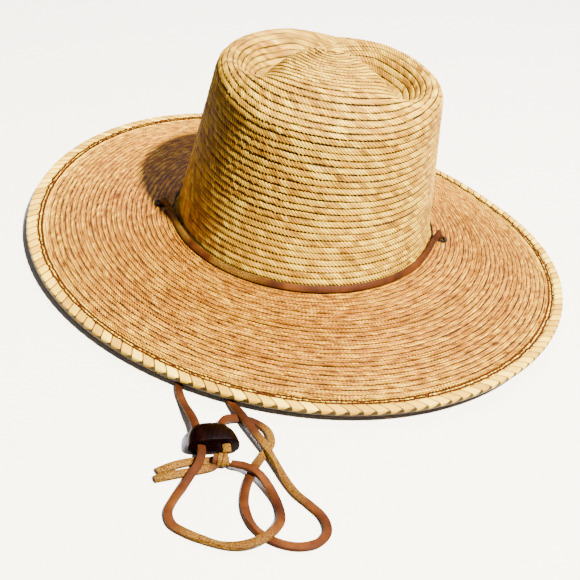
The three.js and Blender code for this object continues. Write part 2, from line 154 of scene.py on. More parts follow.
for name, route in (("left", ROUTE_LEFT), ("right", ROUTE_RIGHT)):
    print(name, "lace", round(lengths_along(smooth_line(route, 1.0))[-1]), "mm")

# %% [markdown]
# Nearly all pieces of this hat are long strips, of leather or of straw, so a few helpers do for them. One
# makes a mesh from points, one runs steps in edit mode, and one sweeps a flat section along a line. A
# bevelled curve would be shorter to write, but gives no hold on which way the strip's broad face lies.

# %% Helpers for meshes made of rows of points
STRIP_SHARP = 40  # degrees; a swept strip keeps edges over this angle sharp


def unit(v):
    return v / np.maximum(np.linalg.norm(v, axis=-1, keepdims=True), 1e-12)


def deselect_all():
    bpy.ops.object.select_all(action="DESELECT")


def pick(piece):
    """Makes one object the selected and active one."""
    deselect_all()
    piece.select_set(True)
    bpy.context.view_layer.objects.active = piece
    return piece


def apply_modifiers(piece):
    pick(piece)
    for modifier in list(piece.modifiers):
        bpy.ops.object.modifier_apply(modifier=modifier.name)
    return piece


def in_edit_mode(piece, *steps):
    """Runs edit-mode steps on a whole mesh, each with all of it selected."""
    pick(piece)
    bpy.ops.object.mode_set(mode="EDIT")
    for step in steps:
        bpy.ops.mesh.select_all(action="SELECT")
        step()
    bpy.ops.object.mode_set(mode="OBJECT")
    return piece


def face_outward():
    bpy.ops.mesh.normals_make_consistent(inside=False)


def shade_smooth(piece, degrees):
    """Smooth shading, with every edge sharper than the angle left sharp."""
    pick(piece)
    bpy.ops.object.shade_smooth_by_angle(angle=math.radians(degrees))
    return piece


def mesh_piece(name, points, faces, uvs=None, uv_name="along"):
    """An object from points in metres and faces; uvs holds one pair for each point."""
    mesh = bpy.data.meshes.new(name)
    mesh.from_pydata([tuple(p) for p in points], [], [tuple(int(i) for i in f) for f in faces])
    if uvs is not None:
        give_uvs(mesh, uvs, uv_name)
    piece = bpy.data.objects.new(name, mesh)
    bpy.context.scene.collection.objects.link(piece)
    return piece


def give_uvs(mesh, pairs, name):
    """Writes a UV map from one pair of numbers for each vertex."""
    layer = mesh.uv_layers.new(name=name)
    corner = np.empty(len(mesh.loops), np.int32)
    mesh.loops.foreach_get("vertex_index", corner)
    layer.data.foreach_set("uv", np.asarray(pairs, np.float32)[corner].ravel())


def faces_between(a, b, around):
    """The faces between two rings of points whose first points are number a and number b."""
    return [(a + j, a + (j + 1) % around, b + (j + 1) % around, b + j) for j in range(around)]


def sweep(name, line, section, side, face):
    """Carries a section (width, height pairs in mm, counter-clockwise) along a line, with closed ends.

    side and face are the directions of the section's width and height at each point of the line."""
    count, around = len(line), len(section)
    wide, high = np.array(section, float).T
    points = line[:, None] + side[:, None] * wide[None, :, None] + face[:, None] * high[None, :, None]
    faces = []
    for i in range(count - 1):
        faces += faces_between(i * around, (i + 1) * around, around)
    faces += [tuple(reversed(range(around))), tuple((count - 1) * around + j for j in range(around))]
    along = np.repeat(lengths_along(line) * MM, around)
    uvs = np.stack([along, np.tile(np.arange(around) / around, count)], axis=1)
    piece = mesh_piece(name, points.reshape(-1, 3) * MM, faces, uvs)
    return shade_smooth(in_edit_mode(piece, face_outward), STRIP_SHARP)


print("a swept strip keeps edges over", STRIP_SHARP, "degrees sharp")

# %% [markdown]
# A thong is cut from a hide with a blade, so its two broad faces are flat and its cut sides are square,
# with the corners a little worn. It was coiled when it was new and rolls slowly from side to side, so now
# its grain and now its cut side faces up. A rope simulation would take long and end differently with each
# change, so the lace follows its route, and where a corner would dip into the floor it is pressed flat.

# %% Free lengths of the lace
LACE_STEP = 1.0
LACE_SECTION = [
    (-1.8, -1.1), (1.8, -1.1), (2.1, -0.8), (2.1, 0.85), (1.8, 1.1), (-1.8, 1.1), (-2.1, 0.85), (-2.1, -0.8)]
LACE_ROLLS = [(17, 62.0, 0.6), (9, 27.0, 2.1)]  # degrees, wavelength in mm, phase of the lace's slow rolling
FLOOR_CLEAR = 0.05  # mm


def lying_frame(line):
    """Directions across the lace and out of its broad face, for a lace that lies with that face up."""
    tangent = unit(np.gradient(line, axis=0))
    up = np.array([0, 0, 1.0])
    face = unit(up - tangent * (tangent @ up)[:, None])
    return unit(np.cross(tangent, face)), face


def rolled(side, face):
    """The same directions, turned about the lace by its slow rolling."""
    along = np.arange(len(side)) * LACE_STEP
    roll = sum(
        np.radians(most) * np.sin(2 * np.pi * along / wave + phase) for most, wave, phase in LACE_ROLLS)
    c, s = np.cos(roll)[:, None], np.sin(roll)[:, None]
    return side * c + face * s, face * c - side * s


def lace_length(name, route):
    """A length of lace that lies along a route, and the line that it follows."""
    line = smooth_line(route, LACE_STEP)
    piece = sweep(name, line, LACE_SECTION, *rolled(*lying_frame(line)))
    for vertex in piece.data.vertices:
        vertex.co.z = max(vertex.co.z, FLOOR_CLEAR * MM)
    return piece, line


lace_left, line_left = lace_length("chin_lace_left", ROUTE_LEFT)
lace_right, line_right = lace_length("chin_lace_right", ROUTE_RIGHT)
tails = {name: lace_length("lace_" + name, route) for name, route in TAILS.items()}
print("lace pieces:", len(lace_left.data.polygons), len(lace_right.data.polygons), "faces")

# %% [markdown]
# The shape of the hat is worked out again from the same driving sizes as the frame: a teardrop crown
# with a domed middle, a moat round it and a rim, a tapered wall, and a brim with low waves. The frame's
# own solids could be sampled, but formulas also tell the way along and across each row. Each function
# gives points in millimetres for whole arrays of angles, which are counted from the hat's right-hand
# side towards its front.

# %% Shape of the crown and the brim
BASE_WIDE, BASE_LONG = 88.5, 102.5
WALL_TOP_WIDE, WALL_TOP_LONG, WALL_TOP_HIGH = 75.2, 89.3, 96.7
CREST_WIDE, CREST_LONG, CREST_HIGH = 67.5, 81.0, 107.7
BACK_LONG, BACK_DROP, BACK_ROUND, BACK_FLAT, BACK_FROM, BACK_TO = 76.0, 9.5, 13.0, 2.0, -8.0, -68.0
DOME_X, DOME_Y, DOME_RISE = -3.0, 4.0, 10.8
# The moat by side (90 in front, -90 behind): its depth, its place, and the fullness of the dome
MOAT = [(-60, 7.0, 0.86, 3.5), (0, 14.0, 0.70, 1.5), (45, 18.0, 0.66, 1.2), (90, 13.0, 0.60, 1.0)]
MOAT_FULLNESS = 1.15
NOTCH_DEEP, NOTCH_IN, NOTCH_HALF_ANGLE, NOTCH_SHARP = 3.0, 8.0, 34.0, 1.5
BASE_HEIGHT, SLOPE_BASE, SLOPE_TOP = 21.3, 0.058, 0.022
STRAW, FOOT, GAP = 2.0, 2.5, 0.3
OUTLINE_WIDE, OUTLINE_LONG = 188.0, 202.0
EDGE_WIDE, EDGE_THICK, EDGE_LIFT, LANDING, CAMBER = 7.0, 4.0, 4.5, 0.6, 1.5
WAVES = [(2, 3.95, 148.2), (3, 1.34, 0.0), (1, 1.4, 238.0)]


def mix(a, b, share):
    return a + (b - a) * share


def smooth(x, low, high):
    t = np.clip((x - low) / (high - low), 0, 1)
    return t * t * (3 - 2 * t)


def away_from_front(angle):
    return np.abs((angle - 90 + 540) % 360 - 180)


def moat_at(angle):
    side = 90 - away_from_front(angle)
    found = [np.full_like(side, v) for v in MOAT[0][1:]]
    for low, high in zip(MOAT[:-1], MOAT[1:]):
        share = smooth(side, low[0], high[0])
        found = [np.where(side >= low[0], mix(a, b, share), f) for f, a, b in zip(found, low[1:], high[1:])]
    return found


def notch_at(angle):
    return np.maximum(0, 1 - away_from_front(angle) / NOTCH_HALF_ANGLE) ** NOTCH_SHARP


def back_at(angle):
    return 1 - smooth(90 - away_from_front(angle), BACK_TO, BACK_FROM)


def crest_long(angle):
    return mix(CREST_LONG - NOTCH_IN * notch_at(angle), BACK_LONG, back_at(angle))


def top_point(angle, share):
    """The crown's top, from its middle (share 0) to its crest (share 1)."""
    depth, place, fullness = moat_at(angle)
    back = back_at(angle)
    inside = share < place
    along = np.where(inside, share / place, (1 - share) / (1 - place))
    bump = 0.5 * (1 + np.cos(np.pi * np.clip(along, 0, 1) ** np.where(inside, fullness, MOAT_FULLNESS)))
    dented = mix(-depth, np.where(inside, DOME_RISE, 0), bump) - NOTCH_DEEP * notch_at(angle) * share**2
    rolled = DOME_RISE - BACK_DROP * share**BACK_ROUND
    x = DOME_X * (1 - share) + CREST_WIDE * share * np.cos(np.radians(angle))
    y = DOME_Y * (1 - share) + crest_long(angle) * share * np.sin(np.radians(angle))
    return np.stack(np.broadcast_arrays(x, y, CREST_HIGH + mix(dented, rolled, back)), axis=-1)


def shoulder_point(angle, turn):
    """The rounding from the crest (turn 0) over to the wall (turn 90)."""
    back = back_at(angle)
    power = mix(1, BACK_FLAT, back)
    out = np.sin(np.radians(turn)) ** power
    up = np.maximum(np.cos(np.radians(turn)), 0) ** power
    x = mix(CREST_WIDE, WALL_TOP_WIDE, out) * np.cos(np.radians(angle))
    y = mix(crest_long(angle), WALL_TOP_LONG, out) * np.sin(np.radians(angle))
    crest = CREST_HIGH + (DOME_RISE - BACK_DROP) * back
    z = mix(WALL_TOP_HIGH, crest, up) - NOTCH_DEEP * notch_at(angle) * up**2
    return np.stack(np.broadcast_arrays(x, y, z), axis=-1)


def wall_point(angle, height, out=0.0):
    share = height / WALL_TOP_HIGH
    x = (mix(BASE_WIDE, WALL_TOP_WIDE, share) + out) * np.cos(np.radians(angle))
    y = (mix(BASE_LONG, WALL_TOP_LONG, share) + out) * np.sin(np.radians(angle))
    return np.stack(np.broadcast_arrays(x, y, height), axis=-1)


def foot_point(angle, turn):
    """The foot's rounding from the wall (turn 0) out to the level (turn 90)."""
    out = FOOT * (1 - np.cos(np.radians(turn)))
    point = wall_point(angle, FOOT + 0 * out, out)
    point[..., 2] = FOOT * (1 - np.sin(np.radians(turn)))
    return point


def settle(point):
    """Lifts and tips the crown to its place on the brim."""
    slope = mix(SLOPE_BASE, SLOPE_TOP, point[..., 2] / CREST_HIGH)
    settled = point.copy()
    settled[..., 2] += BASE_HEIGHT + slope * point[..., 0]
    return settled


def edge_bottom(angle):
    """Height of the edge's underside: low waves, pressed flat where the hat rests."""
    wave = EDGE_LIFT + sum(high * np.cos(np.radians(lobes * (angle - top))) for lobes, high, top in WAVES)
    landing = (wave + LANDING) ** 2 / (4 * LANDING)
    return np.where(wave < -LANDING, 0, np.where(wave > LANDING, wave, landing))


def outline_point(angle, inset, up=0.0):
    """A point of the plaited edge: how far in from the outline, and how far above its middle."""
    c, s = np.cos(np.radians(angle)), np.sin(np.radians(angle))
    length = np.hypot(c / OUTLINE_WIDE, s / OUTLINE_LONG)
    x = OUTLINE_WIDE * c - inset * c / OUTLINE_WIDE / length
    y = OUTLINE_LONG * s - inset * s / OUTLINE_LONG / length
    return np.stack(np.broadcast_arrays(x, y, edge_bottom(angle) + EDGE_THICK / 2 + up), axis=-1)


def brim_point(angle, share):
    """The middle of the brim's sheet, from the crown's foot (share 0) to the sewn edge (share 1)."""
    foot = foot_point(angle, np.array(90.0))
    foot = foot + GAP * np.stack([np.cos(np.radians(angle)), np.sin(np.radians(angle)), 0 * angle], axis=-1)
    foot[..., 2] = -STRAW / 2
    point = mix(settle(foot), outline_point(angle, EDGE_WIDE + GAP), np.asarray(share)[..., None])
    point[..., 2] += CAMBER * np.sin(np.pi * share)
    return point


print("crown top", settle(top_point(np.array([0.0]), np.array([0.0])))[0].round(1))

# %% [markdown]
# The braid needs one smooth map of each surface: turn round the hat against rows of braid. Rows by height
# alone would crowd together on the flat top. So the crown's rows are counted from the middle of its top to
# its foot, in equal steps along the surface, first to the shoulder and then down the wall. The brim's run
# from the crown's foot to the sewn edge.

# %% Maps of the two surfaces
ANGLES = np.arange(0, 360, 1.0)
ROWS_CROWN, ROWS_BRIM = 45, 26
SHOULDER_ROW, SHOULDER_ROW_BACK, SHOULDER_DIP = 21.3, 20.0, 4.0  # the shoulder's row, its dip in the pinch
SAMPLES = 8  # map samples in each row
EDGE_ROW_INSET = 10.4  # where the brim's last row ends, from the outline


class Surface:
    """A closed map of points and outward normals, by angle and row."""

    def __init__(self, columns, samples=SAMPLES):
        self.points, self.samples = columns, samples
        across = np.roll(columns, -1, axis=0) - np.roll(columns, 1, axis=0)
        normals = np.cross(np.gradient(columns, axis=1), across)
        if np.ptp(columns[:, 0, 0]) < 1:  # the pole takes the normal of the rows round it
            normals[:, :2] = unit(normals[:, 2:3]).mean(axis=0)
        self.normals = unit(normals)

    def at(self, angle, row):
        """Points and normals at arrays of angles and rows."""
        a = np.asarray(angle) % 360 / 360 * len(self.points)
        b = np.clip(np.asarray(row) * self.samples, 0, self.points.shape[1] - 1.001)
        i, j = np.floor(a).astype(int), np.floor(b).astype(int)
        u, v = (a - i)[..., None], (b - j)[..., None]
        i, n = i % len(self.points), (i + 1) % len(self.points)
        found = []
        for grid in (self.points, self.normals):
            found.append(mix(mix(grid[i, j], grid[n, j], u), mix(grid[i, j + 1], grid[n, j + 1], u), v))
        return found[0], unit(found[1])


def crown_surface():
    """The crown's map: its profile at every angle, sampled in equal steps of rows."""
    a = ANGLES[:, None]
    shares, turns = np.linspace(0, 1, 90)[None], np.linspace(0, 90, 15)[None, 1:]
    heights, foot_turns = np.linspace(WALL_TOP_HIGH, FOOT, 50)[None, 1:], np.linspace(0, 90, 8)[None, 1:]
    stretches = [
        top_point(a, shares), shoulder_point(a, turns), wall_point(a, heights), foot_point(a, foot_turns)]
    profile = settle(np.concatenate(stretches, axis=1))
    middle = shares.size + turns.size // 2
    steps = np.linalg.norm(np.diff(profile, axis=1), axis=2)
    along = np.concatenate([np.zeros((len(a), 1)), np.cumsum(steps, axis=1)], axis=1)
    turn_length, whole = along[:, middle:middle + 1], along[:, -1:]
    shoulder = mix(SHOULDER_ROW, SHOULDER_ROW_BACK, back_at(a)) + SHOULDER_DIP * notch_at(a)
    row = np.where(
        along <= turn_length, shoulder * along / turn_length,
        shoulder + (ROWS_CROWN - shoulder) * (along - turn_length) / (whole - turn_length))
    wanted = np.arange(ROWS_CROWN * SAMPLES + 1) / SAMPLES
    columns = np.empty((len(a), len(wanted), 3))
    for i in range(len(a)):
        for k in range(3):
            columns[i, :, k] = np.interp(wanted, row[i], profile[i, :, k])
    pitch = turn_length / shoulder
    print("row pitch on the top", pitch.min().round(2), "to", pitch.max().round(2))
    return Surface(columns)


def brim_surface():
    last = 1 - (EDGE_ROW_INSET - EDGE_WIDE - GAP) / (OUTLINE_WIDE - BASE_WIDE - FOOT - EDGE_WIDE)
    wanted = np.linspace(0, last, ROWS_BRIM * SAMPLES + 1)[None]
    return Surface(brim_point(ANGLES[:, None] + 0 * wanted, wanted + 0 * ANGLES[:, None]))


crown_map, brim_map = crown_surface(), brim_surface()
print("maps:", crown_map.points.shape, brim_map.points.shape)

# %% [markdown]
# The braid is a flat plait of folded palm strands. Its visible half shows short slanting strokes, on the
# brim in two ribs with a groove between them, and its outer edge stands a straw's thickness above the
# next row. A displaced plane would show the strokes but not the step, and its underside would be bare.
# So one stitch is modelled as a short closed tube: its outline is drawn as a ring, then extruded once up
# to the stroke's ridge and once more, steeply, down to the valley. An Array modifier lays stitch after
# stitch to a straight braid, and the braid is then wound along the spiral.

# %% One stitch of the braid
ROW = 4.1  # visible width of a row
TUCK = 1.5  # width hidden under the row before
SHEET = 0.85  # thickness of the plait
STRAW_SHARP = 70  # degrees; edges of straw over this angle stay sharp
STITCH = 2.3  # spacing of the strokes along the braid
RIDGE, SERRATION = 0.45, 0.4  # height of a stroke over the valley, and how far it juts at the edge
RISE = 0.62  # share of a stitch over which its stroke rises
LEAN = 4.4  # how far a stroke runs along the braid while it crosses the row
GROOVE = 2.1  # place of the groove between two ribs
JOIN = STITCH / 20  # stitches that meet nearer than this are joined
PLAIN = [(-TUCK, 0.0), (3.95, 1.13), (ROW, 1.6), (3.4, 1.97), (1.2, 1.5), (-TUCK, SHEET)]
RIBBED = [(-TUCK, 0.0), (3.95, 1.13), (ROW, 1.6), (3.3, 1.97), (GROOVE, 1.25), (1.2, 1.65), (-TUCK, SHEET)]


def straight_braid(name, count, outline):
    """A straight braid of count stitches along X, from X = 0, in mm."""
    deselect_all()
    bpy.ops.mesh.primitive_circle_add(vertices=len(outline), radius=1)
    braid = bpy.context.object
    braid.name = braid.data.name = name
    for vertex, (across, height) in zip(braid.data.vertices, outline):
        vertex.co = (0, across, height)
    bpy.ops.object.mode_set(mode="EDIT")
    bpy.ops.mesh.select_all(action="SELECT")
    wider = 1 + SERRATION / ROW
    for forward, up, stretch in ((STITCH * RISE, RIDGE, wider), (STITCH * (1 - RISE), -RIDGE, 1 / wider)):
        bpy.ops.mesh.extrude_region_move(TRANSFORM_OT_translate={"value": (forward, 0, up)})
        bpy.ops.transform.resize(value=(1, stretch, 1), center_override=(0, -TUCK, 0))
    bpy.ops.object.mode_set(mode="OBJECT")
    array = braid.modifiers.new("stitches", "ARRAY")
    array.count = count
    array.use_relative_offset, array.use_constant_offset = False, True
    array.constant_offset_displace = (STITCH, 0, 0)
    array.use_merge_vertices, array.merge_threshold = True, JOIN
    return apply_modifiers(braid)


def close_ends(braid):
    return in_edit_mode(braid, lambda: bpy.ops.mesh.fill_holes(sides=0), face_outward)


def points_of(piece):
    co = np.empty(len(piece.data.vertices) * 3)
    piece.data.vertices.foreach_get("co", co)
    return co.reshape(-1, 3)


def place_points(piece, points, mirrored=False):
    """Gives a mesh its final points, in mm, and turns its faces outward again if the map mirrors it."""
    piece.data.vertices.foreach_set("co", (points * MM).ravel())
    if mirrored:
        in_edit_mode(piece, bpy.ops.mesh.flip_normals)
    piece.data.update()
    return shade_smooth(piece, STRAW_SHARP)


print("a stitch:", STITCH, "mm long,", ROW + TUCK, "mm wide,", len(PLAIN), "or", len(RIBBED), "corners")

# %% [markdown]
# Winding follows the sewing: the length already sewn gives the turn and the row, the place across the
# braid adds to the row, and the height goes along the surface's normal. The strokes lean by moving each
# point along the row as it goes outwards. No two folded strands are alike and no hand sews quite evenly,
# so strokes differ in height and rows stray a little. A Curve modifier could bend the braid too, but it
# would not hold its edge to the next row. A spiral never closes, so a ring of the same braid closes the
# foot of the crown, and one each the start and the end of the brim.

# %% Winding the braid
FLATTEST, TALLEST = 0.5, 1.05  # heights of the flattest and the tallest stroke, as shares of the usual one
RIDGE_NEAR = 0.05  # in stitches: a point as near as this to a stroke's ridge belongs to it
WANDER, WANDER_STEP = 0.13, 14.0  # mm, how far the rows stray and how soon
WANDER_PLACES, WANDER_SEED = 4000, 6
UNDERSIDE_BELOW, UNDERSIDE_FROM = 0.6, 0.45  # height in mm of the tucked edge's lower side, and its place across, past the seam's painted shade
POLE_RADIUS = 7.0  # nearer to the middle than this, strokes lean no more than they do here
TURN_STEP = 2.0  # degrees between the points that a spiral is measured by
RING_JOIN = 0.05  # mm, between the two ends of a closed ring


class Spiral:
    """The line that the inner edge of a braid follows on a surface, one row out for each turn."""

    def __init__(self, surface, first_row, last_row):
        self.angles = np.arange(first_row * 360, last_row * 360 + 1, TURN_STEP)
        self.length = lengths_along(surface.at(self.angles, self.angles / 360)[0])
        self.surface = surface

    def turn_at(self, length):
        return np.interp(length, self.length, self.angles)


def uneven(along, across, height, seed):
    """Makes the strokes of a straight braid unlike each other, as folded strands are."""
    stitch = np.floor(along / STITCH + 0.01).astype(int)  # a valley counts with the stitch after it
    ridge = np.abs(along / STITCH - stitch - RISE) < RIDGE_NEAR
    strength = np.random.default_rng(seed).uniform(FLATTEST, TALLEST, stitch.max() + 1)
    fall = np.where(ridge, 1 - strength[stitch], 0)
    return across - SERRATION * fall * (across + TUCK) / ROW, height - RIDGE * fall


def braid_uvs(along, across, height):
    """Place along a braid in metres and across it from 0 to 1. The underside starts past the seam's painted
    shade.
    """
    share = (across + TUCK) / (ROW + TUCK)
    below = (share < 0.01) & (height < UNDERSIDE_BELOW)
    return np.stack([along * MM, np.where(below, UNDERSIDE_FROM, share)], axis=1)


def wander(along):
    """How far, in mm, a hand-sewn row strays from its even place."""
    places = np.random.default_rng(WANDER_SEED).normal(0, WANDER, WANDER_PLACES)
    return np.interp(along / WANDER_STEP, np.arange(WANDER_PLACES), places)


def wound_braid(name, spiral, first, count, seat, outline):
    """A piece of the braid, count stitches from the stitch first.

    seat lifts it, in mm, over its usual place, in which its top is about level with the map."""
    braid = close_ends(straight_braid(name, count, outline))
    along, across, height = points_of(braid).T
    across, height = uneven(along, across, height, first)
    along = along + first * STITCH
    give_uvs(braid.data, braid_uvs(along, across, height), "braid")
    turn = spiral.turn_at(along)
    per_degree = (spiral.turn_at(along + 1) - spiral.turn_at(along - 1)) / 2
    lean = np.minimum(per_degree, math.degrees(1 / POLE_RADIUS)) * LEAN * (across / ROW - 0.5)
    point, normal = spiral.surface.at(turn + lean, turn / 360 + (across + wander(along)) / ROW)
    return place_points(braid, point + normal * (height - STRAW + seat)[:, None], mirrored=True)


def ring_braid(name, surface, row, seat, outline):
    """One closed turn of the braid whose visible part covers the row."""
    angles = np.linspace(0, 360, 721)
    length = lengths_along(surface.at(angles, np.full_like(angles, row + 0.5))[0])
    count = round(length[-1] / STITCH)
    braid = straight_braid(name, count, outline)
    along, across, height = points_of(braid).T
    across, height = uneven(along, across, height, count)
    give_uvs(braid.data, braid_uvs(along, across, height), "braid")
    turn = along / (count * STITCH) * 360 + LEAN / length[-1] * 360 * (across / ROW - 0.5)
    point, normal = surface.at(turn, row + across / ROW)
    place_points(braid, point + normal * (height - STRAW + seat)[:, None])
    in_edit_mode(braid, lambda: bpy.ops.mesh.remove_doubles(threshold=RING_JOIN * MM), face_outward)
    return shade_smooth(braid, STRAW_SHARP)


def wind(names, surface, first_row, last_row, shares, seat, outline):
    """Winds a surface's whole braid, cut into pieces at the given shares of its length."""
    spiral = Spiral(surface, first_row, last_row)
    total = int(spiral.length[-1] / STITCH)
    cuts = [0, *(round(total * share) for share in shares), total]
    made = [wound_braid(n, spiral, a, b - a, seat, outline) for n, a, b in zip(names, cuts[:-1], cuts[1:])]
    triangles = [sum(len(p.vertices) - 2 for p in piece.data.polygons) for piece in made]
    print("wound", round(spiral.length[-1] * MM, 1), "m of braid:", triangles, "triangles")
    return made


CROWN_NAMES, CROWN_CUTS, CROWN_FROM = ["crown_top_braid", "crown_wall_braid"], [0.36], 0.35
BRIM_NAMES, BRIM_CUTS = ["brim_inner_braid", "brim_middle_braid", "brim_outer_braid"], [0.34, 0.67]
FOOT_DOWN, FIRST_UP, LAST_DOWN = 0.35, 0.45, 0.4  # mm, so that each ring lies over or under its spiral
crown_pieces = wind(CROWN_NAMES, crown_map, CROWN_FROM, ROWS_CROWN - 1, CROWN_CUTS, 0, PLAIN)
crown_pieces.append(ring_braid("crown_foot_row", crown_map, ROWS_CROWN - 1, -FOOT_DOWN, PLAIN))
brim_pieces = wind(BRIM_NAMES, brim_map, 0.0, ROWS_BRIM - 1, BRIM_CUTS, STRAW / 2, RIBBED)
brim_pieces.append(ring_braid("brim_first_row", brim_map, 0, STRAW / 2 + FIRST_UP, RIBBED))
edge_row = ring_braid("brim_last_row", brim_map, ROWS_BRIM - 1, STRAW / 2 - LAST_DOWN, RIBBED)

# %% [markdown]
# The braid's first length lies straight over the middle of the dome, and the first turn is sewn round it.
# There both halves of the plait show, with their strokes meeting in points. The spiral alone would leave a
# hole in the middle, and a plain patch would show as one. So it is two lengths of the same straight braid,
# the second one mirrored, whose outer edges are drawn in towards both ends like a leaf.

# %% Start of the braid
START_STITCHES, START_SEAT = 7, 0.5
START_NARROW = 0.35  # square of the width at both ends, as a share of a row's
START_SEAM_CLEAR = 2.1  # mm; the pattern across starts here, past the seam's painted shade


def crown_start(name, side):
    """One half of the first length, on the side of the dome that side (1 or -1) names."""
    braid = close_ends(straight_braid(name, START_STITCHES, PLAIN))
    along, across, height = points_of(braid).T
    give_uvs(braid.data, np.stack([along * MM, np.maximum(across, START_SEAM_CLEAR) / ROW], axis=1), "braid")
    x = along - START_STITCHES * STITCH / 2
    end = np.clip(np.abs(x) / (START_STITCHES * STITCH / 2), 0, 1)
    across = np.maximum(across, 0) * np.sqrt(1 - (1 - START_NARROW) * end**3)
    x = x + LEAN * (across / ROW - 0.5)
    point, normal = crown_map.at(np.degrees(np.arctan2(side * across, x)), np.hypot(x, across) / ROW)
    place_points(braid, point + normal * (height - STRAW + START_SEAT)[:, None])
    return in_edit_mode(braid, face_outward)


crown_pieces += [crown_start("crown_start_front", 1), crown_start("crown_start_back", -1)]
print("start:", START_STITCHES * STITCH, "mm long")

# %% [markdown]
# The edge of the brim is finished with a broad plait of pale, unsplit straw. Seen from above it shows
# one slanting bundle after the next, and the front end of each stands over the start of the next. A true
# plait of crossing strands would hide most of its own faces. So one bundle is modelled from a subdivided
# cube, leant over, tilted and repeated with an Array modifier, and the straight row is laid along the
# outline. Beside it run two thin cords of straw, made in the same way.

# %% Plaited edge
PLAIT = 7.8  # spacing of the bundles
BUNDLE_LONG, BUNDLE_WIDE, BUNDLE_THICK, BUNDLE_POINT, BUNDLE_LEAN = 14.0, 6.2, 3.0, 0.3, 0.75
BUNDLE_TILT = math.radians(3.5)
BUNDLE_ROUND = 0.38  # how far a bundle goes from a block to a ball
EDGE_SEAT = 0.3  # mm, from the middle of the edge up to the middle of a bundle or cord
CORD_SHAPE, CORD_SPACING, CORD_LEAN = (4.6, 1.9, 1.7, 0.4), 3.1, 0.4  # long, wide, thick, point
CORD_INSETS = {"edge_cord_outer": 6.5, "edge_cord_inner": 8.5}
UV_REACH, UV_WIDTH = 4, 10  # a bundle's pattern reaches over this many spacings; one repeat across, in mm


def repeated_along(piece, spacing, inset, seat, lean=0.0, stray=0.0):
    """Repeats a piece that is modelled round X = 0 and lays the row along the brim's outline.

    stray is how far, in mm, each copy may lie to either side of the row."""
    angles = np.linspace(0, 360, 1441)
    length = lengths_along(outline_point(angles, inset))
    count = round(length[-1] / spacing)
    array = piece.modifiers.new("row", "ARRAY")
    array.count = count
    array.use_relative_offset, array.use_constant_offset = False, True
    array.constant_offset_displace = (spacing, 0, 0)
    apply_modifiers(piece)
    along, across, height = points_of(piece).T
    each = len(along) // count
    own = np.repeat(np.arange(count), each)
    place = (along - own * spacing - lean * across) / spacing / UV_REACH
    give_uvs(piece.data, np.stack([own + place + 0.5, across / UV_WIDTH + 0.5], axis=1), "bundle")
    across = across + np.repeat(np.random.default_rng(count).uniform(-stray, stray, count), each)
    turn = np.interp(along / (count * spacing) * length[-1] % length[-1], length, angles)
    place_points(piece, outline_point(turn, inset - across, height + seat))
    print(piece.name, count, "times,", len(piece.data.polygons), "faces")
    return piece


def bundle(name, long, wide, thick, point, lean, tilt, cuts):
    """A flattened bundle of straw along X, pointed in front, leant outwards and tilted front end up."""
    deselect_all()
    bpy.ops.mesh.primitive_cube_add(size=2)
    piece = bpy.context.object
    piece.name = piece.data.name = name
    in_edit_mode(
        piece,
        lambda: bpy.ops.mesh.subdivide(number_cuts=cuts),
        lambda: bpy.ops.transform.tosphere(value=BUNDLE_ROUND),
        lambda: bpy.ops.transform.resize(value=(long / 2, wide / 2, thick / 2)))
    for vertex in piece.data.vertices:
        side = abs(vertex.co.y) / (wide / 2)
        vertex.co.z += math.tan(tilt) * vertex.co.x
        vertex.co.x += point * (0.5 - side) + lean * vertex.co.y
    return piece


PLAIT_SHAPE = BUNDLE_LONG, BUNDLE_WIDE, BUNDLE_THICK, BUNDLE_POINT
plait = bundle("edge_plait", *PLAIT_SHAPE, BUNDLE_LEAN, BUNDLE_TILT, cuts=4)
plait = repeated_along(plait, PLAIT, BUNDLE_WIDE / 2, EDGE_SEAT, BUNDLE_LEAN)
cords = []
for name, inset in CORD_INSETS.items():
    cord = bundle(name, *CORD_SHAPE, CORD_LEAN, BUNDLE_TILT, cuts=1)
    cords.append(repeated_along(cord, CORD_SPACING, inset, EDGE_SEAT, CORD_LEAN))

# %% [markdown]
# Three rows of dark waxed thread hold the plait and the cords to the brim. Each stitch shows as one short
# raised dash. A line drawn by a material would lie flat, so each dash is a small block of its own, slightly
# slanted, and it strays a little to either side as a needle does.

# %% Dark stitches in the edge
STITCH_ROWS = [("outer_stitches", 5.55, 3.9), ("middle_stitches", 7.5, 3.3), ("inner_stitches", 9.6, 3.6)]
DASH_SHAPE, DASH_LEAN = (3.3, 1.35, 1.0, 0), 0.3  # long, wide, thick, point
DASH_SEAT, DASH_STRAY = 1.1, 0.35  # mm
stitches = []
for name, inset, spacing in STITCH_ROWS:
    dash = bundle(name, *DASH_SHAPE, DASH_LEAN, 0, cuts=1)
    stitches.append(repeated_along(dash, spacing, inset, DASH_SEAT, stray=DASH_STRAY))

# %% [markdown]
# Under the plait, the cords and the stitches lies one flat strip of straw that they are all sewn to. Nothing
# but dark lines of it shows between them, so it is a plain closed band with the edge's waves, painted dark
# brown as the shade in those gaps. An extruded curve would not stay level across, so its four corners are
# carried round the outline as rings of points.

# %% Strip under the edge
STRIP_OUT, STRIP_IN, STRIP_LOW, STRIP_HIGH = 1.3, 12.0, -0.9, -0.1
BAND_SHARP = 50  # degrees


def edge_strip():
    corners = [
        (STRIP_OUT, STRIP_LOW), (STRIP_IN, STRIP_LOW), (STRIP_IN, STRIP_HIGH), (STRIP_OUT, STRIP_HIGH)]
    rings = [outline_point(ANGLES, inset, up) for inset, up in corners]
    points = np.stack(rings, axis=1).reshape(-1, 3)
    count, around = len(ANGLES), len(corners)
    faces = []
    for i in range(count):
        faces += faces_between(i * around, (i + 1) % count * around, around)
    piece = in_edit_mode(mesh_piece("edge_strip", points * MM, faces), face_outward)
    return shade_smooth(piece, BAND_SHARP)


strip = edge_strip()
print("strip:", len(strip.data.polygons), "faces")

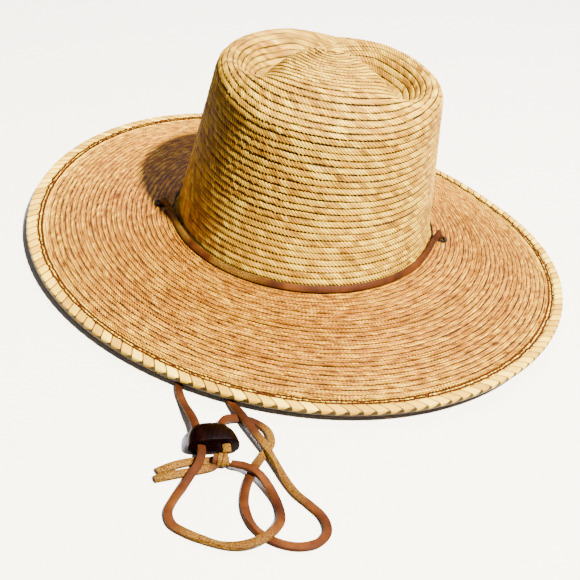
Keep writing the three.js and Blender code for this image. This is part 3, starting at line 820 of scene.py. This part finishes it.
# %% [markdown]
# Between the eyelets the lace goes round the back of the crown. It leans on the wall with its lower
# side on the brim, and at each end it turns down into its eyelet. A cloth or rope simulation could settle
# it there, but its place is known, so it is swept along a line that is worked out from the wall.

# %% Lace round the crown
EYELETS = {"eyelet_left": (187, 0.1), "eyelet_right": (355, 0.07)}
BAND_START = [(188.6, 10, 3), (191.6, 7.2, 2), (196.6, 4, 0.5)]
BAND_MIDDLE = [(angle, 2.9, 0) for angle in np.linspace(204, 340, 13)]
BAND_END = [(347, 3.6, 1), (351, 5.6, 2.4), (353.4, 7, 3)]
BAND_INSIDE, BAND_ABOVE, BAND_LEAN = -1.6, 2.0, math.radians(37)
NEAR_ANGLE, NEAR_SHARE = 2.0, 0.04  # how far round an eyelet the brim's slope is taken


def brim_place(angle, share):
    return brim_point(np.array([float(angle)]), np.array([share]))[0]


def eyelet_axis(angle, share):
    """Middle of an eyelet on the brim and the direction of its bore."""
    along = brim_place(angle + NEAR_ANGLE, share) - brim_place(angle - NEAR_ANGLE, share)
    out = brim_place(angle, share + NEAR_SHARE) - brim_place(angle, share - NEAR_SHARE)
    return brim_place(angle, share), unit(np.cross(out, along))


def band_point(angle, out, lift):
    """A point of the lace round the crown, from how far out of the wall and how far above the brim it is."""
    point = wall_point(np.array([float(angle)]), np.array([0.0]), out)
    point[..., 2] = LACE_WIDTH / 2 + GAP + lift
    return settle(point)[0]


def band_line():
    (left, up_left), (right, up_right) = (eyelet_axis(*place) for place in EYELETS.values())
    start = [left + up_left * BAND_INSIDE, left + up_left * BAND_ABOVE]
    middle = [band_point(*row) for row in BAND_START + BAND_MIDDLE + BAND_END]
    end = [right + up_right * BAND_ABOVE, right + up_right * BAND_INSIDE]
    return smooth_line([*start, *middle, *end], LACE_STEP)


def band_piece():
    line = band_line()
    tangent = unit(np.gradient(line, axis=0))
    radial = unit(line * [1 / BASE_WIDE**2, 1 / BASE_LONG**2, 0])
    face = radial * math.cos(BAND_LEAN) + np.array([0, 0, math.sin(BAND_LEAN)])
    face = unit(face - tangent * (tangent * face).sum(axis=1)[:, None])
    return sweep("lace_round_crown", line, LACE_SECTION, unit(np.cross(tangent, face)), face)


band = band_piece()
print("band:", round(len(band.data.vertices) / len(LACE_SECTION)), "steps")

# %% [markdown]
# The slider is a domed button of dark wood, turned and polished, with two bores for the lace and a flat
# base. It is half of a full, rounded form. A sphere is filled out towards a squarer shape, cut flat by
# bisecting, bored by two Boolean cuts, and its edges are eased with a small bevel.

# %% Slider
SLIDER_WIDE, SLIDER_LONG, SLIDER_THICK, SLIDER_FULL, SLIDER_TURN = 13.3, 16.5, 11.0, 0.7, 18.0
BORE_RADIUS, BORE_OFFSET, BORE_HEIGHT = 2.8, 6.5, 5.3
SLIDER_PLACE = (-29.0, -240.6)
DRILL_LENGTH, EASED, EASED_FROM, SLIDER_SHARP = 60, 0.45, 40, 35  # mm, mm, degrees, degrees


def slider_piece():
    deselect_all()
    bpy.ops.mesh.primitive_uv_sphere_add(segments=72, ring_count=48, radius=1)
    piece = bpy.context.object
    piece.name = piece.data.name = "lace_slider"
    for vertex in piece.data.vertices:
        x, y, z = vertex.co
        vertex.co = (
            SLIDER_WIDE * math.copysign(abs(x) ** SLIDER_FULL, x), SLIDER_LONG * y,
            SLIDER_THICK / 2 * math.copysign(abs(z) ** SLIDER_FULL, z))
    cuts = [((0, 0, 0), (0, 1, 0)), ((0, 0, -BORE_HEIGHT), (0, 0, 1))]
    for through, away in cuts:
        in_edit_mode(piece, lambda: bpy.ops.mesh.bisect(
            plane_co=through, plane_no=away, clear_inner=True, use_fill=True))
    for side in (-1, 1):
        deselect_all()
        bpy.ops.mesh.primitive_cylinder_add(
            vertices=40, radius=BORE_RADIUS, depth=DRILL_LENGTH, location=(side * BORE_OFFSET, 0, 0),
            rotation=(math.pi / 2, 0, 0))
        drill = bpy.context.object
        cut = piece.modifiers.new("bore", "BOOLEAN")
        cut.operation, cut.object, cut.solver = "DIFFERENCE", drill, "EXACT"
        apply_modifiers(piece)
        bpy.data.objects.remove(drill)
    edge = piece.modifiers.new("eased", "BEVEL")
    edge.width, edge.segments = EASED, 3
    edge.limit_method, edge.angle_limit = "ANGLE", math.radians(EASED_FROM)
    apply_modifiers(piece)
    turn = Matrix.Rotation(math.radians(SLIDER_TURN), 4, "Z")
    place = Matrix.Translation((*SLIDER_PLACE, BORE_HEIGHT))
    piece.data.transform(Matrix.Scale(MM, 4) @ place @ turn)
    return shade_smooth(piece, SLIDER_SHARP)


slider = slider_piece()
print("slider:", len(slider.data.polygons), "faces")

# %% [markdown]
# The knot holds the two ends together beside the slider. It is three turns of the same lace round both
# ends, pulled tight, so a squeezed section is swept along a helix that bulges in the middle. Its true
# course over and under itself is hidden by these turns. The two ends inside it are one short core.

# %% Knot
KNOT_PLACE, KNOT_AXIS = (-24.2, -247.4, 3.5), (0.93, 0.14, 0.0)
KNOT_TURNS, KNOT_RADIUS, KNOT_BULGE, KNOT_HALF_LENGTH = 3.0, 1.9, 0.8, 3.7
KNOT_SECTION = [(w * 0.56, h * 0.85) for w, h in LACE_SECTION]
CORE_SECTION = [(w * 0.8, h * 1.3) for w, h in LACE_SECTION]
CORE_HALF_LENGTH, CORE_STEPS, KNOT_STEPS = 4.0, 8, 90


def knot_piece():
    axis = unit(np.array(KNOT_AXIS))
    across = unit(np.cross(axis, [0, 0, 1.0]))
    above = np.cross(across, axis)
    share = np.linspace(0, 1, KNOT_STEPS)[:, None]
    turn = 2 * np.pi * KNOT_TURNS * share
    out = across * np.cos(turn) + above * np.sin(turn)
    radius = KNOT_RADIUS + KNOT_BULGE * np.sin(np.pi * share)
    line = np.array(KNOT_PLACE) + axis * KNOT_HALF_LENGTH * (2 * share - 1) + out * radius
    tangent = unit(np.gradient(line, axis=0))
    face = unit(out - tangent * (tangent * out).sum(axis=1)[:, None])
    turns = sweep("lace_knot", line, KNOT_SECTION, unit(np.cross(tangent, face)), face)
    reach = np.linspace(-CORE_HALF_LENGTH, CORE_HALF_LENGTH, CORE_STEPS)[:, None]
    line = np.array(KNOT_PLACE) + axis * reach
    side, face = (np.tile(direction, (CORE_STEPS, 1)) for direction in (across, above))
    return [turns, sweep("lace_knot_core", line, CORE_SECTION, side, face)]


knot_pieces = knot_piece()
print("knot:", [len(piece.data.polygons) for piece in knot_pieces], "faces")

# %% [markdown]
# Materials. Each is drawn by nodes, so that it has no picture file and stays sharp at any size. One function
# turns sRGB hex colours into the linear numbers that the shader takes, and one adds a node with its settings
# and links. On a Mix node for colours, input 0 is the share, 6 and 7 are the two colours, and output 2 is
# the result.

# %% Helpers for materials
RAMP, MIX, NOISE, MATH = "ShaderNodeValToRGB", "ShaderNodeMix", "ShaderNodeTexNoise", "ShaderNodeMath"
VECTOR, RANGE, CHANCE = "ShaderNodeVectorMath", "ShaderNodeMapRange", "ShaderNodeTexWhiteNoise"
PLACE, BUMP = "ShaderNodeTexCoord", "ShaderNodeBump"
COVER = {"data_type": "RGBA", "blend_type": "MIX"}
TINT = {"data_type": "RGBA", "blend_type": "MULTIPLY"}
LINE = {"noise_dimensions": "1D"}


def colour(code):
    """Linear RGBA of an sRGB hex colour."""
    parts = [int(code[i:i + 2], 16) / 255 for i in (0, 2, 4)]
    return (*(c / 12.92 if c <= 0.04045 else ((c + 0.055) / 1.055) ** 2.4 for c in parts), 1.0)


def add_node(material, kind, links, stops=None, **settings):
    """Adds a node. links gives an input's name or number the socket that feeds it, or its plain value.
    stops gives a colour ramp its (position, hex colour) pairs."""
    node = material.node_tree.nodes.new(kind)
    for key, value in settings.items():
        setattr(node, key, value)
    for key, value in links.items():
        if isinstance(value, bpy.types.NodeSocket):
            material.node_tree.links.new(value, node.inputs[key])
        else:
            node.inputs[key].default_value = value
    if stops:
        elements = node.color_ramp.elements
        while len(elements) < len(stops):
            elements.new(1.0)
        for element, (position, code) in zip(elements, stops):
            element.position, element.color = position, colour(code)
    return node


def new_material(name):
    material = bpy.data.materials.new(name)
    material.use_nodes = True
    material.node_tree.nodes.clear()
    return material


def strip_map(material, name):
    """A strip's UV map, and its two parts: along the strip and across it."""
    uv = add_node(material, "ShaderNodeUVMap", {}, uv_map=name).outputs[0]
    parts = add_node(material, "ShaderNodeSeparateXYZ", {0: uv})
    return uv, parts.outputs[0], parts.outputs[1]


def finish_material(material, base, roughness, normal=None, **plain):
    """Ends a material with its shader. plain values go onto the shader's own sockets."""
    links = {"Base Color": base, "Roughness": roughness}
    links.update((key.replace("_", " "), value) for key, value in plain.items())
    if normal is not None:
        links["Normal"] = normal
    shader = add_node(material, "ShaderNodeBsdfPrincipled", links)
    add_node(material, "ShaderNodeOutputMaterial", {"Surface": shader.outputs[0]})
    return material


print("orange in linear numbers:", [round(part, 3) for part in colour("ff8000")])

# %% [markdown]
# Palm straw is a split leaf: pale, dry and faintly glossy, with long fibres. No two strands have the same
# colour, and a length of braid is lighter or darker as a whole. Shade is painted into the colour as well:
# the part tucked under the next row, with a thin line beside it, is painted dark as the seam's shade, and
# the valleys between strokes and the groove between ribs get painted shade too. A pattern on plain object
# coordinates would run across the rows. The UV map of the braid gives the place along it and across it, in
# real sizes, so every strand can have its own colour.

# %% Straw braid material
STRAND_M, STREAK_M = STITCH * MM, 9 * MM  # a stroke, and a streak of one tone, along the braid
STREAKS_ACROSS = 5.0  # streaks side by side in a row
# Patterns by their repeats in a metre
LENGTHS = 38.0  # lengths of braid of one tone, about 26 mm
STAINS = 14.0  # large pale stains, about 70 mm
SEAM_SHADE_CHANGES = 110.0  # places where the seam's painted shade is deeper or lighter, about 9 mm
FIBRES = 1400.0  # fibres 0.7 mm apart: the leaf's own are finer and would not show
FIBRE_DEEP = 0.0002  # metres
STAIN_TONES = [(0.3, "d9c4a4"), (0.7, "ffffff")]
PATCHES = [(0.3, "dcbc90"), (0.5, "f3e6cc"), (0.72, "ffffff")]  # tones of whole lengths of braid
# Painted shade in the valley between two strokes, by the place within a stroke
VALLEY_SHADE = [(0.0, "ffffff"), (0.14, "a0a0a0"), (0.3, "000000"), (0.76, "000000"), (0.92, "ffffff")]
# The seam's line of painted shade, by the place across the braid where it ends; the groove's painted shade,
# from its middle
SEAM_SHADE_PLAIN, SEAM_SHADE_RIBBED, SEAM_SHADE_SOFT = 0.41, 0.45, 0.06
GROOVE_SHADE = [(-0.07, "000000"), (-0.01, "e0e0e0"), (0.02, "e0e0e0"), (0.07, "000000")]


def braid_tones(m, uv, along, count, tones, each):
    """Colours of the strands: each pair of strokes, the streaks they lie in, and the length of braid."""
    pair = add_node(m, MATH, {0: count, 1: 0.5}, operation="MULTIPLY").outputs[0]
    strand = add_node(m, MATH, {0: pair}, operation="FLOOR").outputs[0]
    chance = add_node(m, CHANCE, {"W": strand}, **LINE).outputs["Value"]
    scale = (1 / STREAK_M, STREAKS_ACROSS, 1.0)
    drawn = add_node(m, VECTOR, {0: uv, 1: scale}, operation="MULTIPLY").outputs[0]
    streak = add_node(m, NOISE, {"Vector": drawn, "Scale": 1.0, "Detail": 3.0}).outputs["Fac"]
    streak = add_node(m, RANGE, {"Value": streak, "From Min": 0.36, "From Max": 0.64}).outputs[0]
    shade = add_node(m, MATH, {0: streak, 1: 1 - each}, operation="MULTIPLY").outputs[0]
    shade = add_node(m, MATH, {0: chance, 1: each, 2: shade}, operation="MULTIPLY_ADD").outputs[0]
    strand_colour = add_node(m, RAMP, {0: shade}, tones).outputs[0]
    length = add_node(m, NOISE, {"W": along, "Scale": LENGTHS, "Detail": 2.0}, **LINE).outputs["Fac"]
    patch = add_node(m, RAMP, {0: length}, PATCHES).outputs[0]
    return add_node(m, MIX, {0: 0.6, 6: strand_colour, 7: patch}, **TINT).outputs[2]


def braid_lines(m, base, along, across, count, seam_shade, ribbed):
    """Paints shade into the valleys between strokes, the groove between ribs and the seam, where the painted
    shade is deeper in some places than in others.
    """
    # Painted shade in the valleys between strokes: the base is tinted darker where the ramp is white
    within = add_node(m, MATH, {0: count}, operation="FRACT").outputs[0]
    valley = add_node(m, RAMP, {0: within}, VALLEY_SHADE).outputs[0]
    low = colour("a08a64" if ribbed else "5c4828")
    dark = add_node(m, MIX, {0: 1.0, 6: base, 7: low}, **TINT).outputs[2]
    base = add_node(m, MIX, {0: valley, 6: base, 7: dark}, **COVER).outputs[2]
    # On the brim, painted shade in the groove between the two ribs
    if ribbed:
        middle = (GROOVE + TUCK) / (ROW + TUCK)
        groove = [(middle + off, code) for off, code in GROOVE_SHADE]
        groove = add_node(m, RAMP, {0: across}, groove).outputs[0]
        dark = add_node(m, MIX, {0: 1.0, 6: base, 7: colour("5a4222")}, **TINT).outputs[2]
        base = add_node(m, MIX, {0: groove, 6: base, 7: dark}, **COVER).outputs[2]
    # Painted shade along the seam, deeper in some places than in others
    to = SEAM_SHADE_RIBBED if ribbed else SEAM_SHADE_PLAIN
    seam = [(0.0, "ffffff"), (to, "ffffff"), (to + SEAM_SHADE_SOFT, "000000"), (0.95, "000000"), (1.0, "808080")]
    seam = add_node(m, RAMP, {0: across}, seam).outputs[0]
    seam_shade_change = add_node(m, NOISE, {"W": along, "Scale": SEAM_SHADE_CHANGES, "Detail": 2.0}, **LINE).outputs["Fac"]
    depth = {"Value": seam_shade_change, "From Min": 0.33, "From Max": 0.5, "To Min": 0.6}
    depth = add_node(m, RANGE, depth).outputs[0]
    seam = add_node(m, MATH, {0: seam, 1: depth}, operation="MULTIPLY").outputs[0]
    return add_node(m, MIX, {0: seam, 6: base, 7: colour(seam_shade)}, **COVER).outputs[2]


def braid_material(name, tones, seam_shade, seed, each, ribbed, outward=None):
    """Sewn palm braid. tones colour the strands, and the seam's painted shade takes its own dark colour.

    each is the share of the tone that every pair of strokes has of its own, the rest runs on in streaks.
    ribbed tells whether a groove divides the row.
    outward gives tones by the distance from the hat's middle, as a share of the brim's outline."""
    m = new_material(name)
    place = add_node(m, PLACE, {}).outputs["Object"]
    uv, along, across = strip_map(m, "braid")
    count = add_node(m, MATH, {0: along, 1: 1 / STRAND_M}, operation="MULTIPLY").outputs[0]
    base = braid_tones(m, uv, along, count, tones, each)
    shifted = add_node(m, VECTOR, {0: place, 1: (seed, seed, 0)}, operation="ADD").outputs[0]
    stain = add_node(m, NOISE, {"Vector": shifted, "Scale": STAINS, "Detail": 2.0}).outputs["Fac"]
    stain = add_node(m, RAMP, {0: stain}, STAIN_TONES).outputs[0]
    base = add_node(m, MIX, {0: 0.5, 6: base, 7: stain}, **TINT).outputs[2]
    if outward:
        shares = (1 / OUTLINE_WIDE / MM, 1 / OUTLINE_LONG / MM, 0)
        share = add_node(m, VECTOR, {0: place, 1: shares}, operation="MULTIPLY").outputs[0]
        share = add_node(m, VECTOR, {0: share}, operation="LENGTH").outputs["Value"]
        share = add_node(m, RAMP, {0: share}, outward).outputs[0]
        base = add_node(m, MIX, {0: 1.0, 6: base, 7: share}, **TINT).outputs[2]
    base = braid_lines(m, base, along, across, count, seam_shade, ribbed)
    fine = add_node(m, NOISE, {"Vector": place, "Scale": FIBRES, "Detail": 3.0}).outputs["Fac"]
    relief = {"Height": fine, "Strength": 0.35, "Distance": FIBRE_DEEP}
    bump = add_node(m, BUMP, relief).outputs[0]
    rough = add_node(m, RANGE, {"Value": fine, "To Min": 0.5, "To Max": 0.72}).outputs[0]
    return finish_material(m, base, rough, bump, Specular_IOR_Level=0.1)


CROWN_TONES = [(0.0, "705010"), (0.25, "aa821c"), (0.6, "d2aa2c"), (1.0, "ffe454")]
BRIM_TONES = [(0.0, "563408"), (0.25, "986a10"), (0.6, "c4941a"), (1.0, "fcd83c")]
PALE_TONES = [(0.0, "b08a1c"), (0.4, "d8b42c"), (1.0, "ffe450")]
BRIM_OUTWARD = [(0.5, "e8d8c0"), (0.85, "f2e6d4"), (0.93, "ffffff")]
# Colours of the painted shade along the seams
CROWN_SEAM_SHADE, BRIM_SEAM_SHADE = "20140a", "22130a"
straw_crown = braid_material("palm braid of the crown", CROWN_TONES, CROWN_SEAM_SHADE, 0.0, 0.6, False)
straw_brim = braid_material("palm braid of the brim", BRIM_TONES, BRIM_SEAM_SHADE, 3.0, 0.3, True, BRIM_OUTWARD)
straw_pale = braid_material("pale palm braid", PALE_TONES, BRIM_SEAM_SHADE, 7.0, 0.2, True)
print("braid materials:", [material.name for material in (straw_crown, straw_brim, straw_pale)])

# %% [markdown]
# The plait's straw is not split, so it is smoother than the braid and was bleached paler. The thread is
# linen, drawn through wax, which turns it dark. The straw strip under them is painted dark brown as the
# shade in the gaps between them. Each bundle of the plait takes its own tone from its number in the UV map,
# and a thin painted shadow lies on the start of each bundle, under the free end of the one before.

# %% Unsplit straw, thread, strip
BUNDLE_TONES = [(0.0, "b48c1a"), (0.3, "cca422"), (0.6, "e0bc30"), (1.0, "ffe254")]
BUNDLE_FIBRES = (1.0, 26.0, 1.0)  # stretches the pattern into fibres 0.2 mm wide
# Painted shadow where the start of each bundle lies under the free end of the one before, and a slight
# painted shade at its free end
GAP_SHADOW_TONES = [(0.472, "1c0e04"), (0.492, "3c2610"), (0.502, "ffffff"), (0.7, "ffffff"), (0.724, "b09058")]
THREAD_GRAIN, STRIP_GRAIN = 900.0, 500.0  # repeats in a metre: twist of the thread, uneven patches in the strip's painted shade


def bundle_material():
    """Unsplit bleached straw of the plait: smooth, pale, with fibres along each bundle."""
    m = new_material("bleached plait straw")
    uv, along, _ = strip_map(m, "bundle")
    own = add_node(m, MATH, {0: along}, operation="FLOOR").outputs[0]
    chance = add_node(m, CHANCE, {"W": own}, **LINE).outputs["Value"]
    tone = add_node(m, RAMP, {0: chance}, BUNDLE_TONES).outputs[0]
    drawn = add_node(m, VECTOR, {0: uv, 1: BUNDLE_FIBRES}, operation="MULTIPLY").outputs[0]
    fibre = add_node(m, NOISE, {"Vector": drawn, "Scale": 2.0, "Detail": 3.0}).outputs["Fac"]
    streak = add_node(m, RAMP, {0: fibre}, [(0.3, "b08850"), (0.62, "ffffff")]).outputs[0]
    base = add_node(m, MIX, {0: 0.7, 6: tone, 7: streak}, **TINT).outputs[2]
    # The painted shadow line at the start of each bundle
    within = add_node(m, MATH, {0: along}, operation="FRACT").outputs[0]
    gap_shadow = add_node(m, RAMP, {0: within}, GAP_SHADOW_TONES).outputs[0]
    base = add_node(m, MIX, {0: 0.95, 6: base, 7: gap_shadow}, **TINT).outputs[2]
    bump = add_node(m, BUMP, {"Height": fibre, "Strength": 0.4, "Distance": 0.0003}).outputs[0]
    return finish_material(m, base, 0.5, bump, Specular_IOR_Level=0.12)


def thread_material():
    """Waxed linen thread, dark red-brown and nearly matte."""
    m = new_material("waxed linen thread")
    place = add_node(m, PLACE, {}).outputs["Object"]
    grain = add_node(m, NOISE, {"Vector": place, "Scale": THREAD_GRAIN}).outputs["Fac"]
    base = add_node(m, RAMP, {0: grain}, [(0.35, "200c03"), (0.7, "4a2206")]).outputs[0]
    return finish_material(m, base, 0.8, Specular_IOR_Level=0.05)


def strip_material():
    """Straw strip of the stitched edge, painted dark brown as the shade in the gaps between the plait, the
    cords and the stitches.
    """
    m = new_material("straw strip painted dark as shade")
    place = add_node(m, PLACE, {}).outputs["Object"]
    grain = add_node(m, NOISE, {"Vector": place, "Scale": STRIP_GRAIN}).outputs["Fac"]
    # Dark browns painted as the shade in the gaps between plait, cords and stitches, made uneven by noise
    base = add_node(m, RAMP, {0: grain}, [(0.3, "2a1408"), (0.7, "6a400e")]).outputs[0]
    return finish_material(m, base, 0.7, Specular_IOR_Level=0.3)


straw_bundle, thread, strip_painted_shade = bundle_material(), thread_material(), strip_material()
print("edge materials:", [material.name for material in (straw_bundle, thread, strip_painted_shade)])

# %% [markdown]
# The thong is oiled leather: its outer face is orange-brown with a dry nap, and its cut sides are darker,
# partly in their own tone and partly as painted shade. The slider is dark polished wood under lacquer, and
# its near-black tone is partly painted shade. The eyelets are brass under black enamel. One plain brown
# would make the lace look like plastic, so the nap, the cut sides and the stretches that have rolled over
# each get a tone of their own.

# %% Leather, wood and enamel
NAP, LACE_WEAR, TURNED = 2000.0, 60.0, 14.0  # repeats in a metre: nap 0.5 mm, wear 17 mm, rolled over 70 mm
WOOD_GRAIN, WOOD_DRAWN = 700.0, (1.0, 0.15, 1.0)  # pores 1.4 mm apart, drawn out along Y
ENAMEL_WEAR = 700.0  # worn spots of 1.4 mm


def leather_material():
    """Oiled leather lace: matte, with a warm grain side and a rough, lighter flesh side."""
    m = new_material("oiled leather lace")
    place = add_node(m, PLACE, {}).outputs["Object"]
    _, along, round_it = strip_map(m, "along")
    nap = add_node(m, NOISE, {"Vector": place, "Scale": NAP, "Detail": 3.0}).outputs["Fac"]
    wear = add_node(m, NOISE, {"Vector": place, "Scale": LACE_WEAR, "Detail": 3.0}).outputs["Fac"]
    grain = add_node(m, RAMP, {0: wear}, [(0.3, "260f03"), (0.55, "3e1d07"), (0.75, "56300e")]).outputs[0]
    suede_and_shade = add_node(m, RAMP, {0: nap}, [(0.38, "1c0a02"), (0.48, "54340c"), (0.68, "80601e")]).outputs[0]
    stretch = add_node(m, NOISE, {"W": along, "Scale": TURNED, "Detail": 1.0}, **LINE).outputs["Fac"]
    turned = add_node(m, RAMP, {0: stretch}, [(0.53, "000000"), (0.6, "ffffff")]).outputs[0]
    top = add_node(m, MIX, {0: turned, 6: grain, 7: suede_and_shade}, **COVER).outputs[2]
    # One cut side shows the flesh tone, which is kept dark partly as painted shade
    sides = [(0.24, "ffffff"), (0.27, "000000"), (0.35, "000000"), (0.38, "ffffff")]
    cut = add_node(m, RAMP, {0: round_it}, sides).outputs[0]
    base = add_node(m, MIX, {0: cut, 6: suede_and_shade, 7: top}, **COVER).outputs[2]
    bump = add_node(m, BUMP, {"Height": nap, "Strength": 0.5, "Distance": 0.0003}).outputs[0]
    return finish_material(m, base, 0.62, bump, Specular_IOR_Level=0.06)


def wood_material():
    """Dark wood, turned, polished and lacquered: nearly black, partly its own tone and partly painted shade,
    with a small soft gloss.
    """
    m = new_material("lacquered dark wood with painted shade")
    place = add_node(m, PLACE, {}).outputs["Object"]
    drawn = add_node(m, VECTOR, {0: place, 1: WOOD_DRAWN}, operation="MULTIPLY").outputs[0]
    grain = add_node(m, NOISE, {"Vector": drawn, "Scale": WOOD_GRAIN, "Detail": 4.0}).outputs["Fac"]
    # Near-black browns: partly the wood's own dark tone, partly painted shade
    base = add_node(m, RAMP, {0: grain}, [(0.3, "020000"), (0.6, "0a0201"), (0.8, "180502")]).outputs[0]
    return finish_material(m, base, 0.3, Coat_Weight=0.02, Coat_Roughness=0.15, Specular_IOR_Level=0.02)


def enamel_material():
    """Brass under baked black enamel: a dull gloss, worn a little brown."""
    m = new_material("black enamelled brass")
    place = add_node(m, PLACE, {}).outputs["Object"]
    wear = add_node(m, NOISE, {"Vector": place, "Scale": ENAMEL_WEAR, "Detail": 3.0}).outputs["Fac"]
    base = add_node(m, RAMP, {0: wear}, [(0.4, "0c0a09"), (0.75, "2c2018")]).outputs[0]
    rough = add_node(m, RANGE, {"Value": wear, "To Min": 0.28, "To Max": 0.5}).outputs[0]
    return finish_material(m, base, rough, Coat_Weight=0.03, Specular_IOR_Level=0.06)


leather, wood, enamel = leather_material(), wood_material(), enamel_material()
print("other materials:", [material.name for material in (leather, wood, enamel)])

# %% [markdown]
# Every piece now gets its finish, rides on the hat's one body, and tells which node of the frame it stands
# for, so that the frame's plain solid no longer shows. The two eyelets already have their true shape, so
# their nodes stay and only get the enamel.

# %% Materials onto pieces


def dress(piece, material, slot, *nodes):
    """Gives a piece its material, lets it ride on the hat and stand for CAD nodes. slot is not used."""
    piece.data.materials.clear()
    piece.data.materials.append(material)
    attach(piece, "root")
    if nodes:
        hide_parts(*nodes)


for piece in crown_pieces:
    dress(piece, straw_crown, "straw_crown", "crown")
for piece in brim_pieces:
    dress(piece, straw_brim, "straw_brim", "brim")
dress(edge_row, straw_pale, "straw_brim", "brim")
dress(plait, straw_bundle, "straw_edge", "brim_edge")
for piece in cords:
    dress(piece, straw_bundle, "straw_edge")
dress(strip, strip_painted_shade, "straw_edge")
for piece in stitches:
    dress(piece, thread, "lace_leather")
dress(lace_left, leather, "lace_leather", "lace_left")
dress(lace_right, leather, "lace_leather", "lace_right")
dress(band, leather, "lace_leather", "lace_band")
for name, (piece, _) in tails.items():
    dress(piece, leather, "lace_leather", name)
for piece in knot_pieces:
    dress(piece, leather, "lace_leather", "knot")
dress(slider, wood, "dark_wood", "slider")
for name in EYELETS:
    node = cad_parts[name]
    node.data.materials.clear()
    node.data.materials.append(enamel)

# %% [markdown]
# The two free lengths of the lace are limp. Each starts at its eyelet and ends in the knot, and its real
# length is measured along its line.

# %% Cords


def length_m(line):
    return float(np.linalg.norm(np.diff(line, axis=0), axis=1).sum()) * MM


print("cords:", round(length_m(line_left), 3), "and", round(length_m(line_right), 3), "m")

# %% [markdown]
# A plain studio: a pale matte floor, one lamp high on the right, whose shadows have soft edges, and a large
# pale one behind for the fill. Light that the floor would throw back is left out, because it takes away the
# shade on the crown's left side, and a weak pale surround lights the rest evenly.

# %% Floor and light
FLOOR_SIZE, AIM = 40, (0, 0, 0.05)  # metres
# Name, place and size in metres, power in watts, colour
LAMPS = [
    ("key", (1.12, -1.12, 2.6), 0.16, 800, "fff6e4"),
    ("sky", (0.5, 1.6, 2.3), 1.5, 120, "dce0fa"),
]
SURROUND, SURROUND_STRENGTH = "ecebf8", 0.2


def floor_piece():
    deselect_all()
    bpy.ops.mesh.primitive_plane_add(size=FLOOR_SIZE, location=(0, 0, 0))
    floor = bpy.context.object
    floor.name = "floor"
    m = new_material("matte floor paint")
    floor.data.materials.append(finish_material(m, colour("fbf7ee"), 0.9))
    floor.visible_diffuse = False


def lamp(name, place, size, power, tint):
    data = bpy.data.lights.new(name, "AREA")
    data.shape, data.size, data.energy, data.color = "DISK", size, power, colour(tint)[:3]
    light = bpy.data.objects.new(name, data)
    bpy.context.scene.collection.objects.link(light)
    light.location = place
    light.rotation_euler = (Vector(AIM) - Vector(place)).to_track_quat("-Z", "Y").to_euler()


def surround():
    world = bpy.data.worlds.new("world")
    bpy.context.scene.world = world
    world.use_nodes = True
    shine = world.node_tree.nodes["Background"].inputs
    shine[0].default_value, shine[1].default_value = colour(SURROUND), SURROUND_STRENGTH


floor_piece()
for row in LAMPS:
    lamp(*row)
surround()
print("lamps:", [row[0] for row in LAMPS])

# %% [markdown]
# Last, the scene is brought up to date, and a helper turns a box's corners into plain numbers.

# %% Sizes, then the end
bpy.context.view_layer.update()


def plain(box):
    return [[float(v) for v in corner] for corner in box]
